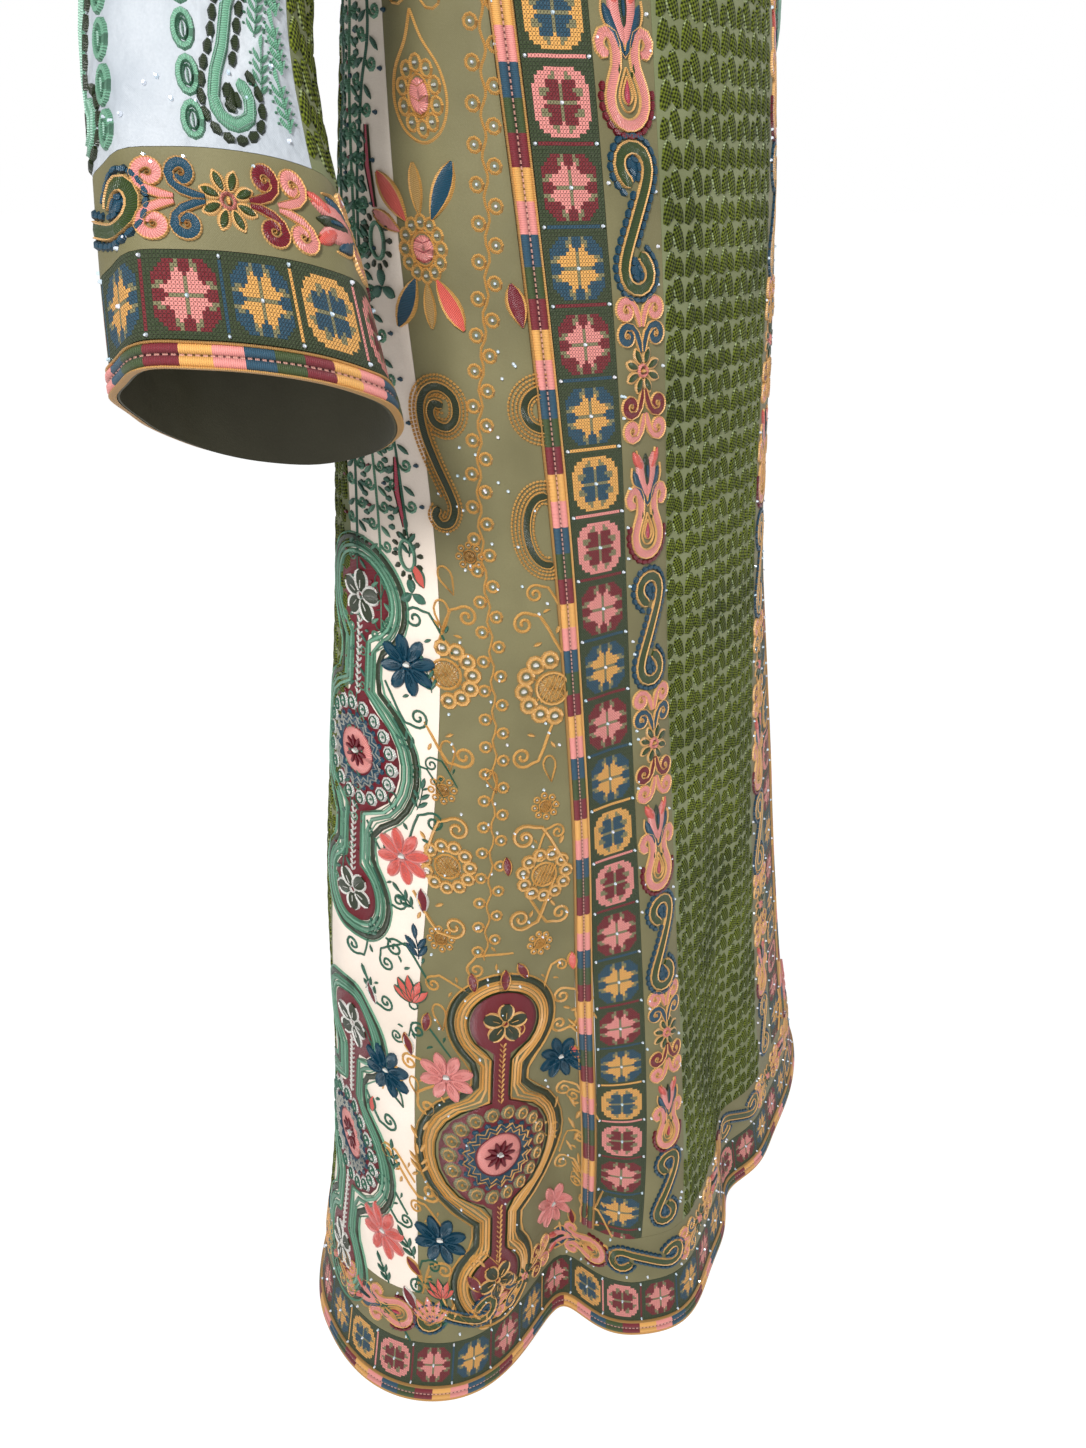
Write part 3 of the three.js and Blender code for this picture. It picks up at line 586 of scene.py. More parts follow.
# %% Piping
def piping_look():
    """Pieced satin: fine lines across, and a row of dashes sewn down the middle groove. The lobes' flanks
    and the groove between the dashes are painted darker as shade. The map's first number is the place
    across, from 0 to 1, and its second is metres along."""
    f = Finish("piping_satin", Sheen_Weight=0.03, Sheen_Roughness=0.3, Specular_IOR_Level=0.3)
    uv, u, v = f.place()
    paint = f.paint()
    line = (v * pitch(0.0010) + u * 3.0).sine()
    groove = abs(u - 0.5) < 0.035
    dash = (v * (1 / 0.0034)).part() < 0.62
    grain = f.noise(uv, 300.0, 2.0)
    # Painted shade: each lobe is darkened down both its flanks, where its satin turns under.
    tone = f.mix(0.52 - abs((u * (2 * math.pi)).sine()) * 0.45 - line * 0.12, paint, (0.0, 0.0, 0.0))
    tone = f.mix(grain * 0.06, tone, (0.75, 0.7, 0.66))
    tone = f.mix(groove * dash * 0.75, tone, linear((0.86, 0.66, 0.60)))
    # Painted shade: the groove between the dashes is made nearly black.
    tone = f.mix(groove * (1 - dash) * 0.6, tone, (0.02, 0.01, 0.01))
    return f.finish(tone, 0.45 + line * 0.05, line * 0.4 - groove * 0.7 + grain * 0.3, 0.0005, 0.8)

# %% Stones, and all the finishes
def crystal_look():
    """A faceted glass stone with foil behind: bright, smooth and a little coloured by its place."""
    f = Finish("crystal", Metallic=0.25, Specular_IOR_Level=0.9, Coat_Weight=0.6, Coat_Roughness=0.05)
    place = f.solid()
    tint = f.noise(place, 60.0, 0.0)
    tone = f.mix(tint, linear((0.97, 0.93, 0.96)), linear((0.72, 0.88, 0.95)))
    return f.finish(tone, 0.12, f.noise(place, 1500.0), 0.0002, 0.4)


satin_thread, leaf_stitch, cross_stitch = thread_look(), leaf_look(), cross_look()
piping_satin, crystal = piping_look(), crystal_look()
print("finishes of thread:", [m.name for m in (satin_thread, leaf_stitch, cross_stitch, piping_satin, crystal)])

# %% [markdown]
# ## The long strips of the body
# A strip is a wall between two seams: an outer face on the form, an inner face a cloth's thickness in.
# Its rows are evenly spaced along the cloth. Where the neck is cut out, the rows above the armpit close
# up under the neck's edge. Each strip stands for two lengths of solid, which join level with the armpit.

# %% Strips between seams
ROW = 7.0


def strip_rows(step=ROW):
    return level_of(np.linspace(height_of(BORDER_TOP + SEAM_GAP / 2), TOP, round((TOP - BORDER_TOP) / step)))


def fitted(levels, u, top_at):
    """The level of a row at a share across: above the armpit, rows close up under the top edge."""
    closed = np.where(levels > ARMPIT, 1 - top_at(u) / ARMPIT, 1.0)
    return ARMPIT + (levels - ARMPIT) * closed


def between(side, inner, outer):
    """A strip's two edges as functions of level, the lower place across first."""
    return [lambda level, seam=seam: edge_at(side, seam, level) for seam in (inner, outer)[::side]]


def strip_places(edges, levels, shares, top_at):
    """Places across and levels of a strip's grid, held in from its seams."""
    inset = SEAM_GAP / 2
    rows = fitted(levels[:, None], shares[None], top_at) + 0 * shares[None]
    rows = np.minimum(rows, top_at(shares)[None] - inset)
    start, end = edges[0](rows) + inset, edges[1](rows) - inset
    return start + (end - start) * shares[None], rows


def body_strip(name, edges, levels, shares, look, slot, top_at=lambda u: 0 * u, replaces=()):
    across, level = strip_places(edges, levels, shares, top_at)
    place = np.stack([across, height_of(level)], -1)
    few = shares[np.unique(np.append(np.arange(0, len(shares), 3), len(shares) - 1))]
    inner = skin(*strip_places(edges, levels, few, top_at), -CLOTH)
    cloth_piece(name, skin(across, level), inner, place, look, slot, replaces)


def shares(count, rounded=False):
    t = np.linspace(0, 1, count + 1)
    return 0.5 - 0.5 * np.cos(math.pi * t) if rounded else t


def both(name):
    return (name, "yoke_" + name)

# %% Front, sides and back
SIDES = (("right", 1), ("left", -1))
centre_edges = (lambda level: seam_at(-1, 0, level), lambda level: seam_at(1, 0, level))
front_neck = lambda u: neck_edge(u, 1, NECK_FRONT_DROP)
body_strip("front_centre", centre_edges, strip_rows(10), shares(30, True), leaf_ground, "leaf_cloth",
           front_neck, both("front_centre"))
for word, side in SIDES:
    body_strip(f"paisley_band_{word}", between(side, 0, 1), strip_rows(), shares(8), sage_crepe, "sage_cloth",
               replaces=both(f"paisley_band_{word}"))
    body_strip(f"side_front_{word}", between(side, 3, 4), strip_rows(9), shares(24), sage_crepe, "sage_cloth",
               replaces=both(f"side_front_{word}"))
    levels = np.linspace(BORDER_TOP + SEAM_GAP / 2, ARMPIT - SEAM_GAP / 2, 130)
    body_strip(f"side_{word}", between(side, 4, 5), levels, shares(20), cream_satin, "cream_cloth",
               replaces=(f"side_{word}",))

NECK_SHARE = NECK_HALF_WIDTH / 192
back_edges = (lambda level: edge_at(1, 5, level), lambda level: around(level) + edge_at(-1, 5, level))
back_neck = lambda u: neck_edge(u, NECK_SHARE, NECK_BACK_DROP)
half = (1 - NECK_SHARE) / 2
back_shares = np.concatenate([shares(20)[:-1] * half, half + NECK_SHARE * shares(42, True)[:-1],
                              1 - half + half * shares(20)])
body_strip("back", back_edges, strip_rows(13), back_shares, leaf_ground, "leaf_cloth", back_neck, both("back"))

# %% [markdown]
# ## Cross-stitch
# Cross-stitch is charted on squares. The motifs here are an eight-sided ring and an eight-pointed star,
# each the same in all four quarters, so a quarter of each is charted: the first letter of the
# first row is the middle stitch. r is the outline's thread, f its field's, s sage and . the dark ground.

# %% Charts of the two motifs
RING_QUARTER = """
sssssrrrr..
sfffffrrr..
sffffssrr..
sfffsssrr..
sffffrrrr..
rffffrrr...
rrssrrrr...
rrsrrrr....
rrrrr......
...........
..........."""
STAR_QUARTER = """
sssssffff..
srrrrrfff..
srrrrrrss..
srrrrrssf..
srrrfffff..
frrffffff..
ffrsffff...
ffssfff....
ffsfff.....
...........
..........."""
# ring or star, outline, field, and the divider's thread, in their order down the strip
MOTIFS = [
    (RING_QUARTER, "yellow", "blue", "pink"), (RING_QUARTER, "pink", "burgundy", "burgundy"),
    (STAR_QUARTER, "pink", "burgundy", "blue"), (STAR_QUARTER, "yellow", "blue", "burgundy"),
    (STAR_QUARTER, "pink", "burgundy", "blue"), (STAR_QUARTER, "yellow", "blue", "yellow"),
]
CELLS = 21


def stitch_chart():
    """All six motifs one after another as thread colours, mirrored from their quarters, each with its
    divider in the last row."""
    charts = []
    for quarter, outline, field, divider in MOTIFS:
        letters = np.array([list(line) for line in quarter.split()])
        away = np.abs(np.arange(CELLS) - CELLS // 2)
        whole = letters[away[:, None], away[None]]
        colours = np.empty(whole.shape + (3,))
        for letter, name in (("r", outline), ("f", field), ("s", "sage"), (".", "ground")):
            colours[whole == letter] = THREADS[name]
        colours[-1, 2:-2] = THREADS[divider]
        charts.append(colours)
    return np.concatenate(charts)

# %% One stitch a face
CHART = stitch_chart()
MOTIF = 47.5  # length of one motif along the front
STITCH = MOTIF / CELLS
EVEN_ROWS, FINE_STITCH = 512, 39 / CELLS


def stitched_strip(name, outer_at, chart_row, replaces, round_=True):
    """A strip with one stitch a face. outer_at(row, share, lift) gives points, chart_row is the chart's
    row for each row, and the map counts stitches, so that the finish can draw each cross. A crystal sits
    in the middle of each motif and at both ends of each divider."""
    rows = len(chart_row)
    share = np.linspace(0, 1, CELLS + 1)
    few = share[[0, 7, 14, 21]]
    row = np.arange(rows + (0 if round_ else 1))
    place = np.stack(np.broadcast_arrays(share[None] * CELLS, row[:, None].astype(float)), -1)
    at = np.arange(rows) + 0.5
    places = [(x, at[r] * STITCH, 1.3) for r in np.flatnonzero(chart_row % CELLS == CELLS - 1)
              for x in (2.5, CROSS_BAND - 2.5)]
    places += [(CROSS_BAND / 2, at[r] * STITCH, 1.4) for r in np.flatnonzero(chart_row % CELLS == CELLS // 2)]
    stones.append((lambda x, y, lift: outer_at(y / STITCH, x / CROSS_BAND, lift), places))
    cloth_piece(name, outer_at(row[:, None], share[None], 0.0), outer_at(row[:, None], few[None], -CLOTH),
                place, cross_stitch, "cross_stitch_cloth", replaces, round_, CHART[chart_row], 1.0)

# %% Cross-stitch down the front
RING_HEIGHT = -374.0  # where one yellow ring's middle lies on the front


def down_front(side, seam, inset, knots, drops):
    """outer_at for a strip of the front: row knots[i] lies drops[i] millimetres of cloth below its top."""
    edges = between(side, seam, seam + 1)

    def at(row, share, lift):
        level = np.minimum(level_of(TOP - 2 * inset - np.interp(row, knots, drops)), -inset) + 0 * share
        a, b = edges[0](level) + inset, edges[1](level) - inset
        return skin(a + (b - a) * share, level, lift)
    return at


# The stitches are finer over the last quarter metre, above the hem.
front_long = TOP - BORDER_TOP - 1.5 * SEAM_GAP
count = EVEN_ROWS + round((front_long - EVEN_ROWS * STITCH) / FINE_STITCH)
first = round(CELLS // 2 - (TOP - SEAM_GAP - RING_HEIGHT) / STITCH)
for word, side in SIDES:
    front_band = down_front(side, 1, SEAM_GAP / 2, [0, EVEN_ROWS, count], [0, EVEN_ROWS * STITCH, front_long])
    stitched_strip(f"cross_stitch_band_{word}", front_band, (first + np.arange(count)) % len(CHART),
                   both(f"cross_stitch_band_{word}"), False)

# %% [markdown]
# ## Piping
# The piping is a narrow bolster of satin scraps: two soft lobes with a sewn groove between them, and a
# thin cord along each edge. Its outline across is a short table of places and heights, and each scrap
# has four rows, so that a change of colour falls on an edge of the mesh.

# %% Pieced piping
PROFILE = np.array([
    (0.0, 0.2), (0.7, 2.1), (1.4, 1.7), (1.8, 0.7), (3.4, 2.4), (6.0, 2.5), (7.5, 1.2), (8.0, 0.7), (8.5, 1.2),
    (10.0, 2.5), (12.6, 2.4), (14.2, 0.7), (14.6, 1.7), (15.3, 2.1), (16.0, 0.2),
])
SCRAPS = ["yellow", "pink", "blue", "green", "burgundy"]
SCRAP = 19.1
SCRAP_ROWS = 4
YELLOW_TOP = 365.4  # a yellow scrap of the front starts this far down


def piped_strip(name, outer_at, scraps, start, replaces, length=SCRAP, way=-1, round_=True):
    """A piped strip: outer_at(row, share, lift) gives points, and each scrap takes four rows."""
    rows = scraps * SCRAP_ROWS
    share, lift = PROFILE[:, 0] / PIPING, PROFILE[:, 1]
    row = np.arange(rows + (0 if round_ else 1))
    place = np.stack(np.broadcast_arrays(share[None], row[:, None] * length / SCRAP_ROWS * 0.001), -1)
    threads = np.array([THREADS[name] for name in SCRAPS])
    scrap = threads[((start + way * np.arange(rows)) // SCRAP_ROWS) % len(SCRAPS)]
    colour = np.repeat(scrap[:, None], len(share) - 1, axis=1)
    colour[:, :3] = colour[:, -3:] = THREADS["gold"]
    few = np.array([0, 0.33, 0.67, 1.0])
    cloth_piece(name, outer_at(row[:, None], share[None], lift[None]), outer_at(row[:, None], few[None], -CLOTH),
                place, piping_satin, "piping_cloth", replaces, round_, colour, 1.0)

# %% Piping down the front
FRONT_SCRAPS, EVEN_SCRAPS = 75, 41  # below the even ones the scraps are a little shorter
front_long = TOP - BORDER_TOP - 3 * SEAM_GAP
first = round(-(TOP - 2 * SEAM_GAP + YELLOW_TOP) / SCRAP * SCRAP_ROWS) % (len(SCRAPS) * SCRAP_ROWS)
for word, side in SIDES:
    knots = np.array([0, EVEN_SCRAPS, FRONT_SCRAPS]) * SCRAP_ROWS
    front_piping = down_front(side, 2, SEAM_GAP, knots, [0, EVEN_SCRAPS * SCRAP, front_long])
    piped_strip(f"front_piping_{word}", front_piping, FRONT_SCRAPS, first, both(f"front_piping_{word}"),
                way=1, round_=False)

# %% [markdown]
# ## The border round the hem
# Three strips run right round the foot: sage with scrolls, cross-stitch, and piping on the very edge.
# Each is one closed ring here, and stands for the four lengths of its solid. The number of motifs is
# rounded so that the last one meets the first.

# %% Border strips
HEM_CROSS_TOP = BORDER_TOP - BORDER_SAGE
HEM_PIPING_TOP = HEM + PIPING


def four(name):
    return tuple(f"{name}_{word}" for word in ("front", "right", "back", "left"))


def hem_places(row, rows, share, low, high, inset):
    """Rows go round the hem, shares go up the strip."""
    level = low + inset + (high - low - 2 * inset) * share + 0 * row
    return around(level) * (row / rows), level


def hem_at(rows, low, high, inset):
    def at(row, share, lift):
        across, level = hem_places(row, rows, share, low, high, inset)
        return skin(across, level, lift)
    return at

# %% The hem's three strips
round_length = float(around(HEM + 50))
rows = round(round_length / 7)
row, share = np.arange(rows)[:, None], shares(6)[None]
across, level = hem_places(row, rows, share, HEM_CROSS_TOP, BORDER_TOP, SEAM_GAP / 2)
cloth_piece("hem_sage", skin(across, level), skin(across, level, -CLOTH), np.stack([across, level], -1),
            sage_crepe, "sage_cloth", four("hem_sage"), True)
# The motifs lie a little closer than down the front, in reverse order, and number six is one more star.
HEM_MOTIFS, HEM_SCRAPS = 49, 115
hem_number, hem_stitch = np.divmod(np.arange(HEM_MOTIFS * CELLS) - 6, CELLS)
hem_kind = np.where(hem_number == 6, 4, np.where(hem_number < 6, 5 - hem_number, 12 - hem_number) % 6)
stitched_strip("hem_cross_stitch", hem_at(HEM_MOTIFS * CELLS, HEM_PIPING_TOP, HEM_CROSS_TOP, SEAM_GAP / 2),
               hem_kind * CELLS + CELLS - 1 - hem_stitch, four("hem_cross_stitch"))
piped_strip("hem_piping", hem_at(HEM_SCRAPS * SCRAP_ROWS, HEM, HEM_PIPING_TOP, SEAM_GAP), HEM_SCRAPS, 0,
            four("hem_piping"), round_length / HEM_SCRAPS)

# %% [markdown]
# ## Neck binding
# The neck is bound with a narrow flat strip of sage that carries the cloth on from the cut edge toward
# the opening. It is one closed ring, worked out from the neck's edge.

# %% Neck binding
u = shares(40, True)[:-1]
front_level = neck_edge(u, 1, NECK_FRONT_DROP)
start = seam_at(-1, 0, front_level)
front_across = start + (seam_at(1, 0, front_level) - start) * u
u = half + NECK_SHARE * shares(24, True)[:-1]
back_level = neck_edge(u, NECK_SHARE, NECK_BACK_DROP)
start, end = edge_at(1, 5, back_level), around(back_level) + edge_at(-1, 5, back_level)
neck_across = np.concatenate([front_across, start + (end - start) * u])
neck_level = np.concatenate([front_level, back_level])
edge, under = skin(neck_across, neck_level), skin(neck_across, neck_level, -CLOTH)
along = np.roll(edge, -1, 0) - np.roll(edge, 1, 0)
inward = unit(np.cross(along, under - edge))
inward *= np.sign(np.einsum("ij,ij->i", inward, edge.mean(0) - edge))[:, None]
steps = np.linspace(SEAM_GAP, NECK_BINDING, 5)
moved = lambda base: base[:, None] + inward[:, None] * steps[None, :, None]
run = np.cumsum(np.linalg.norm(along, axis=1)) / 2
place = np.stack(np.broadcast_arrays(steps[None], run[:, None]), -1)
cloth_piece("neck_binding", moved(edge), moved(under), place, sage_crepe, "sage_cloth", ("neck_binding",), True)

# %% [markdown]
# ## Sleeves
# A sleeve starts with the armhole's outline on the body and turns into tilted oval rings along the arm.
# The rings come from a short table for each arm, and the outline fades into them over a hand's length.
# The result is kept as a table of points and normals, and every sleeve piece reads its places from it.

# %% Sleeve tables
SLEEVE_LENGTH, ROOT_BLEND = 509.0, 110.0
CUFF_TOP = SLEEVE_LENGTH - BORDER_SAGE - CROSS_BAND - PIPING
SLEEVE_COLUMNS = "length x y z out forward across deep"
SLEEVES = {
    "right": table(SLEEVE_COLUMNS, """
        0 -184 6 -128 80 0 88 58, 36 -208 5 -153 74 0 76 62, 88 -238 0 -197 64 3 71 64,
        162 -275 -10 -262 50 6 64 64, 240 -316 -27 -330 36 11 58 62, 314 -347 -47 -395 21 15 54 61,
        381 -359 -63 -460 18 18 58 64, 443 -361 -74 -521 20 20 68 71, 509 -361 -81 -586 23 21 78 78"""),
    "left": table(SLEEVE_COLUMNS, """
        0 184 6 -128 80 0 88 58, 36 204 12 -158 72 0 76 62, 88 228 22 -203 58 -2 71 64,
        162 252 34 -272 42 -4 63 64, 240 272 45 -347 24 -4 57 62, 314 284 56 -419 12 -2 54 61,
        381 292 66 -484 8 0 58 64, 443 297 74 -545 6 3 68 71, 509 301 80 -610 5 5 78 78"""),
}
# Toward the cuff the ring is less round: a soft corner in front, and a flat front and back.
SLEEVE_FLATS = table("share wide out", """
    0.045 0.04 7, 0.18 0.1 -7, 0.8 0.13 -13""")
# Creases of a sleeve: share round and length at each end, sideways bow as a share, half width, depth.
SLEEVE_CREASES = table("share0 length0 share1 length1 bow wide deep", """
    0.2 20 0.3 150 0.02 9 -3.0, 0.33 30 0.4 190 -0.02 10 2.6, 0.62 25 0.58 170 0.02 10 -3.0,
    0.74 18 0.8 160 -0.02 11 2.4, 0.05 40 0.02 210 0.01 12 -1.8, 0.42 190 0.6 260 0.03 9 -3.4,
    0.38 235 0.64 295 -0.03 11 3.0, 0.36 270 0.55 330 0.02 8 -2.6, 0.16 220 0.26 400 0.02 13 2.2,
    0.86 170 0.92 370 -0.02 14 -2.6, 0.97 300 0.955 560 0.0 15 4.5, 0.9 330 0.885 560 0.0 15 -3.0,
    0.3 360 0.33 560 0.0 14 2.6, 0.56 340 0.6 560 0.0 16 -2.8, 0.73 330 0.75 560 0.0 17 2.4,
    0.06 300 0.075 540 0.0 14 -1.8""")
ARMHOLE_LEVELS = np.array([0, -12, -32, -66, -110, -156, -188.0])
UNDER_FROM, UNDER_TO, PLACES = 5, 14, 21
TURN = 440.0  # a sleeve's flat width: one turn is this many millimetres of pattern

# %% From the armhole to rings
def armhole_places(side, p):
    """The armhole's outline: p runs 0 to 6 down the front, 7 to 13 under the arm, 14 to 20 up the back."""
    knots = np.arange(7)
    start = edge_at(side, 4, ARMPIT) + side * SEAM_GAP
    end = edge_at(side, 5, ARMPIT) - side * 2 * SEAM_GAP
    under = start + (end - start) * np.clip((p - 7) / 6, 0, 1)
    front_level, back_level = np.interp(p, knots, ARMHOLE_LEVELS), np.interp(p, knots + 14, ARMHOLE_LEVELS[::-1])
    front = armhole(side, "front", front_level) + side * SEAM_GAP
    back = armhole(side, "back", back_level) - side * SEAM_GAP
    floor = ARMPIT + SEAM_GAP
    t, s = np.clip(p - 6, 0, 1), np.clip(p - 13, 0, 1)
    across = np.where(p < 7, front + (under - front) * t, np.where(p < 13, under, under + (back - under) * s))
    level = np.where(p < 7, front_level + (floor - front_level) * t,
                     np.where(p < 13, floor, floor + (back_level - floor) * s))
    over = np.clip(p - 20, 0, 1)
    top = armhole(side, "front", 0.0) + side * SEAM_GAP
    return across + (top - across) * over, level


def tube(rows, side, share, length):
    """A tilted oval ring: the centre, less across·cos(turn) toward the arm's underside, less
    deep·sin(turn) toward its back."""
    value = {name: smooth(rows, name, length) for name in rows if name != "length"}
    out, forward = np.radians(value["out"]), np.radians(value["forward"])
    under = np.stack([side * np.cos(out), -np.sin(out) * np.sin(forward), -np.sin(out) * np.cos(forward)], -1)
    behind = np.stack([0 * out, np.cos(forward), -np.sin(forward)], -1)
    centre = np.stack([value["x"], value["y"], value["z"]], -1)
    turn = share * 2 * math.pi
    flat = 0
    for at, wide, move in zip(*SLEEVE_FLATS.values()):
        flat = flat + move * np.exp(-((((share - at + 0.5) % 1 - 0.5) / wide) ** 2))
    flat = flat * ease((length - 230) / 200)
    return (centre - under * ((value["across"] + flat) * np.cos(turn))[..., None]
            - behind * ((value["deep"] + flat) * np.sin(turn))[..., None]), centre

# %% A sleeve as a table
class Sleeve:
    """Points and normals of one sleeve, by p round the armhole and length along the arm."""

    def __init__(self, word, side):
        knots = np.arange(PLACES + 1.0)
        corner = skin(*armhole_places(side, knots))
        lengths = np.linalg.norm(np.diff(corner, axis=0), axis=1)
        self.share_knots = np.concatenate([[0], np.cumsum(lengths)]) / lengths.sum()
        self.p = np.linspace(0, PLACES, PLACES * 14 + 1)
        self.share = np.interp(self.p, knots, self.share_knots)
        self.length = np.linspace(0, SLEEVE_LENGTH, 171)
        share, length = np.meshgrid(self.share, self.length)
        root = skin(*armhole_places(side, self.p))[None]
        round_, centre = tube(SLEEVES[word], side, share, length)
        points = root + (round_ - root) * ease(length / ROOT_BLEND)[..., None]
        creased = relief(SLEEVE_CREASES, share, length, 1, np.full(share.shape, TURN)) * ease(length / 60)
        points = points + self.normals(points, centre) * creased[..., None]
        self.points, self.normal = points, self.normals(points, centre)

    def normals(self, points, centre):
        """Crosses of the steps round and along, turned to point away from the arm's middle."""
        wide = np.concatenate([points[:, -2:-1], points, points[:, 1:2]], 1)
        around_ = wide[:, 2:] - wide[:, :-2]
        along = np.gradient(points, axis=0)
        normal = unit(np.cross(around_, along))
        return normal * np.sign(np.einsum("ijk,ijk->ij", normal, points - centre))[..., None]

    def at(self, x, length, lift=0.0):
        """A point of the sleeve: x is the place round it in millimetres of flat cloth."""
        x, length, lift = np.broadcast_arrays(*(np.asarray(v, float) for v in (x, length, lift)))
        column = np.interp(x / TURN % 1, self.share, np.arange(len(self.share)))
        row = length / SLEEVE_LENGTH * (len(self.length) - 1)
        return blend(self.points, row, column) + unit(blend(self.normal, row, column)) * lift[..., None]


sleeves = {word: Sleeve(word, side) for word, side in SIDES}
under_edges = {word: tuple(TURN * sleeves[word].share_knots[[UNDER_FROM, UNDER_TO]]) for word, _ in SIDES}
print("under-arm strip from and to, mm round the sleeve:", under_edges)

# %% [markdown]
# Each sleeve is two lengths of cloth: a cream one over the arm and a leaf one under it. The cuff is the
# border again, sage, cross-stitch and piping, on a plain lining that shows inside the opening.

# %% Sleeve and cuff pieces
CUFF_ROWS = (CUFF_TOP, CUFF_TOP + BORDER_SAGE, SLEEVE_LENGTH - PIPING, SLEEVE_LENGTH)


def sleeve_grid(sleeve, x0, x1, l0, l1, columns, rows, lift, inset):
    x = x0 + inset + (x1 - x0 - 2 * inset) * shares(columns)
    length = l0 + inset + (l1 - l0 - 2 * inset) * shares(rows)
    return sleeve.at(x[None], length[:, None], lift), np.stack(np.broadcast_arrays(x[None], -length[:, None]), -1)


def cuff_at(sleeve, rows, l0, l1, inset):
    """Rows go round the cuff, shares go from the hand up the arm."""
    def at(row, share, lift):
        return sleeve.at(-TURN * row / rows, l1 - inset - (l1 - l0 - 2 * inset) * share, lift)
    return at

# %% Plain rings of a cuff
def plain_cuff(part, sleeve, word, l1, inset, columns, look, slot, out=0.0, thick=CLOTH):
    """A plain ring of cloth from the cuff's top down to l1."""
    rows = 72
    at = cuff_at(sleeve, rows, CUFF_TOP, l1, inset)
    row, share = np.arange(rows)[:, None], shares(columns)[None]
    place = np.stack(np.broadcast_arrays(TURN * row / rows, (l1 - CUFF_TOP) * share), -1)
    cloth_piece(f"cuff_{part}_{word}", at(row, share, out), at(row, share, out - thick), place, look, slot,
                (f"cuff_{part}_{word}",), True)

# %% Sewing both sleeves
CUFF_MOTIFS, CUFF_SCRAPS = 12, 30
for word, side in SIDES:
    sleeve, (under0, under1) = sleeves[word], under_edges[word]
    gap = SEAM_GAP / 2
    for name, x0, x1, columns, look, slot in (
        ("sleeve", under1, under0 + TURN, 44, shaded_sleeve_satin, "cream_cloth"),
        ("under_sleeve", under0, under1, 20, leaf_ground, "leaf_cloth"),
    ):
        outer, place = sleeve_grid(sleeve, x0, x1, 0, CUFF_TOP, columns, 64, 0.0, gap)
        inner, _ = sleeve_grid(sleeve, x0, x1, 0, CUFF_TOP, columns, 64, -CLOTH, gap)
        cloth_piece(f"{name}_{word}", outer, inner, place, look, slot, (f"{name}_{word}",))
    plain_cuff("sage", sleeve, word, CUFF_ROWS[1], gap, 7, sage_crepe, "sage_cloth")
    rows = CUFF_MOTIFS * CELLS
    stitched_strip(f"cuff_cross_stitch_{word}", cuff_at(sleeve, rows, CUFF_ROWS[1], CUFF_ROWS[2], gap),
                   (69 - np.arange(rows)) % len(CHART), (f"cuff_cross_stitch_{word}",))
    piped_strip(f"cuff_piping_{word}",
                cuff_at(sleeve, CUFF_SCRAPS * SCRAP_ROWS, CUFF_ROWS[2], CUFF_ROWS[3], SEAM_GAP), CUFF_SCRAPS, 9,
                (f"cuff_piping_{word}",), TURN / CUFF_SCRAPS)
    plain_cuff("lining", sleeve, word, CUFF_ROWS[3], 2 * SEAM_GAP, 14, olive_lining, "lining_cloth",
               -CLOTH - SEAM_GAP, LINING)

# %% [markdown]
# ## Leaves
# The green cloth is covered with chain-stitched leaves in columns. From one foot a tall oval leaf and
# a short square one lean apart like a V, and the next pair up is its mirror. The cloth was embroidered
# before it was cut, so leaves at a seam are cut off there: a leaf's points beyond the seam are moved
# back onto it.

# %% Leaf shapes and how they are laid
LEAF_COLUMN, LEAF_STEP = 22.0, 17.0
LEAF_SHARE = 0.95  # of its outline, so that a line of cloth shows between neighbours
# Outlines in millimetres from the foot of a pair, x across and y up.
LEAVES = [
    [(0.2, -0.6), (5.4, -2.4), (11.4, 2.4), (13.3, 9.6), (11, 17.2), (6, 19), (2.2, 13), (0.6, 5)],
    [(-0.4, -0.2), (-5, -1.2), (-10.2, 3.2), (-9.5, 12), (-4.4, 14), (-1, 8)],
]


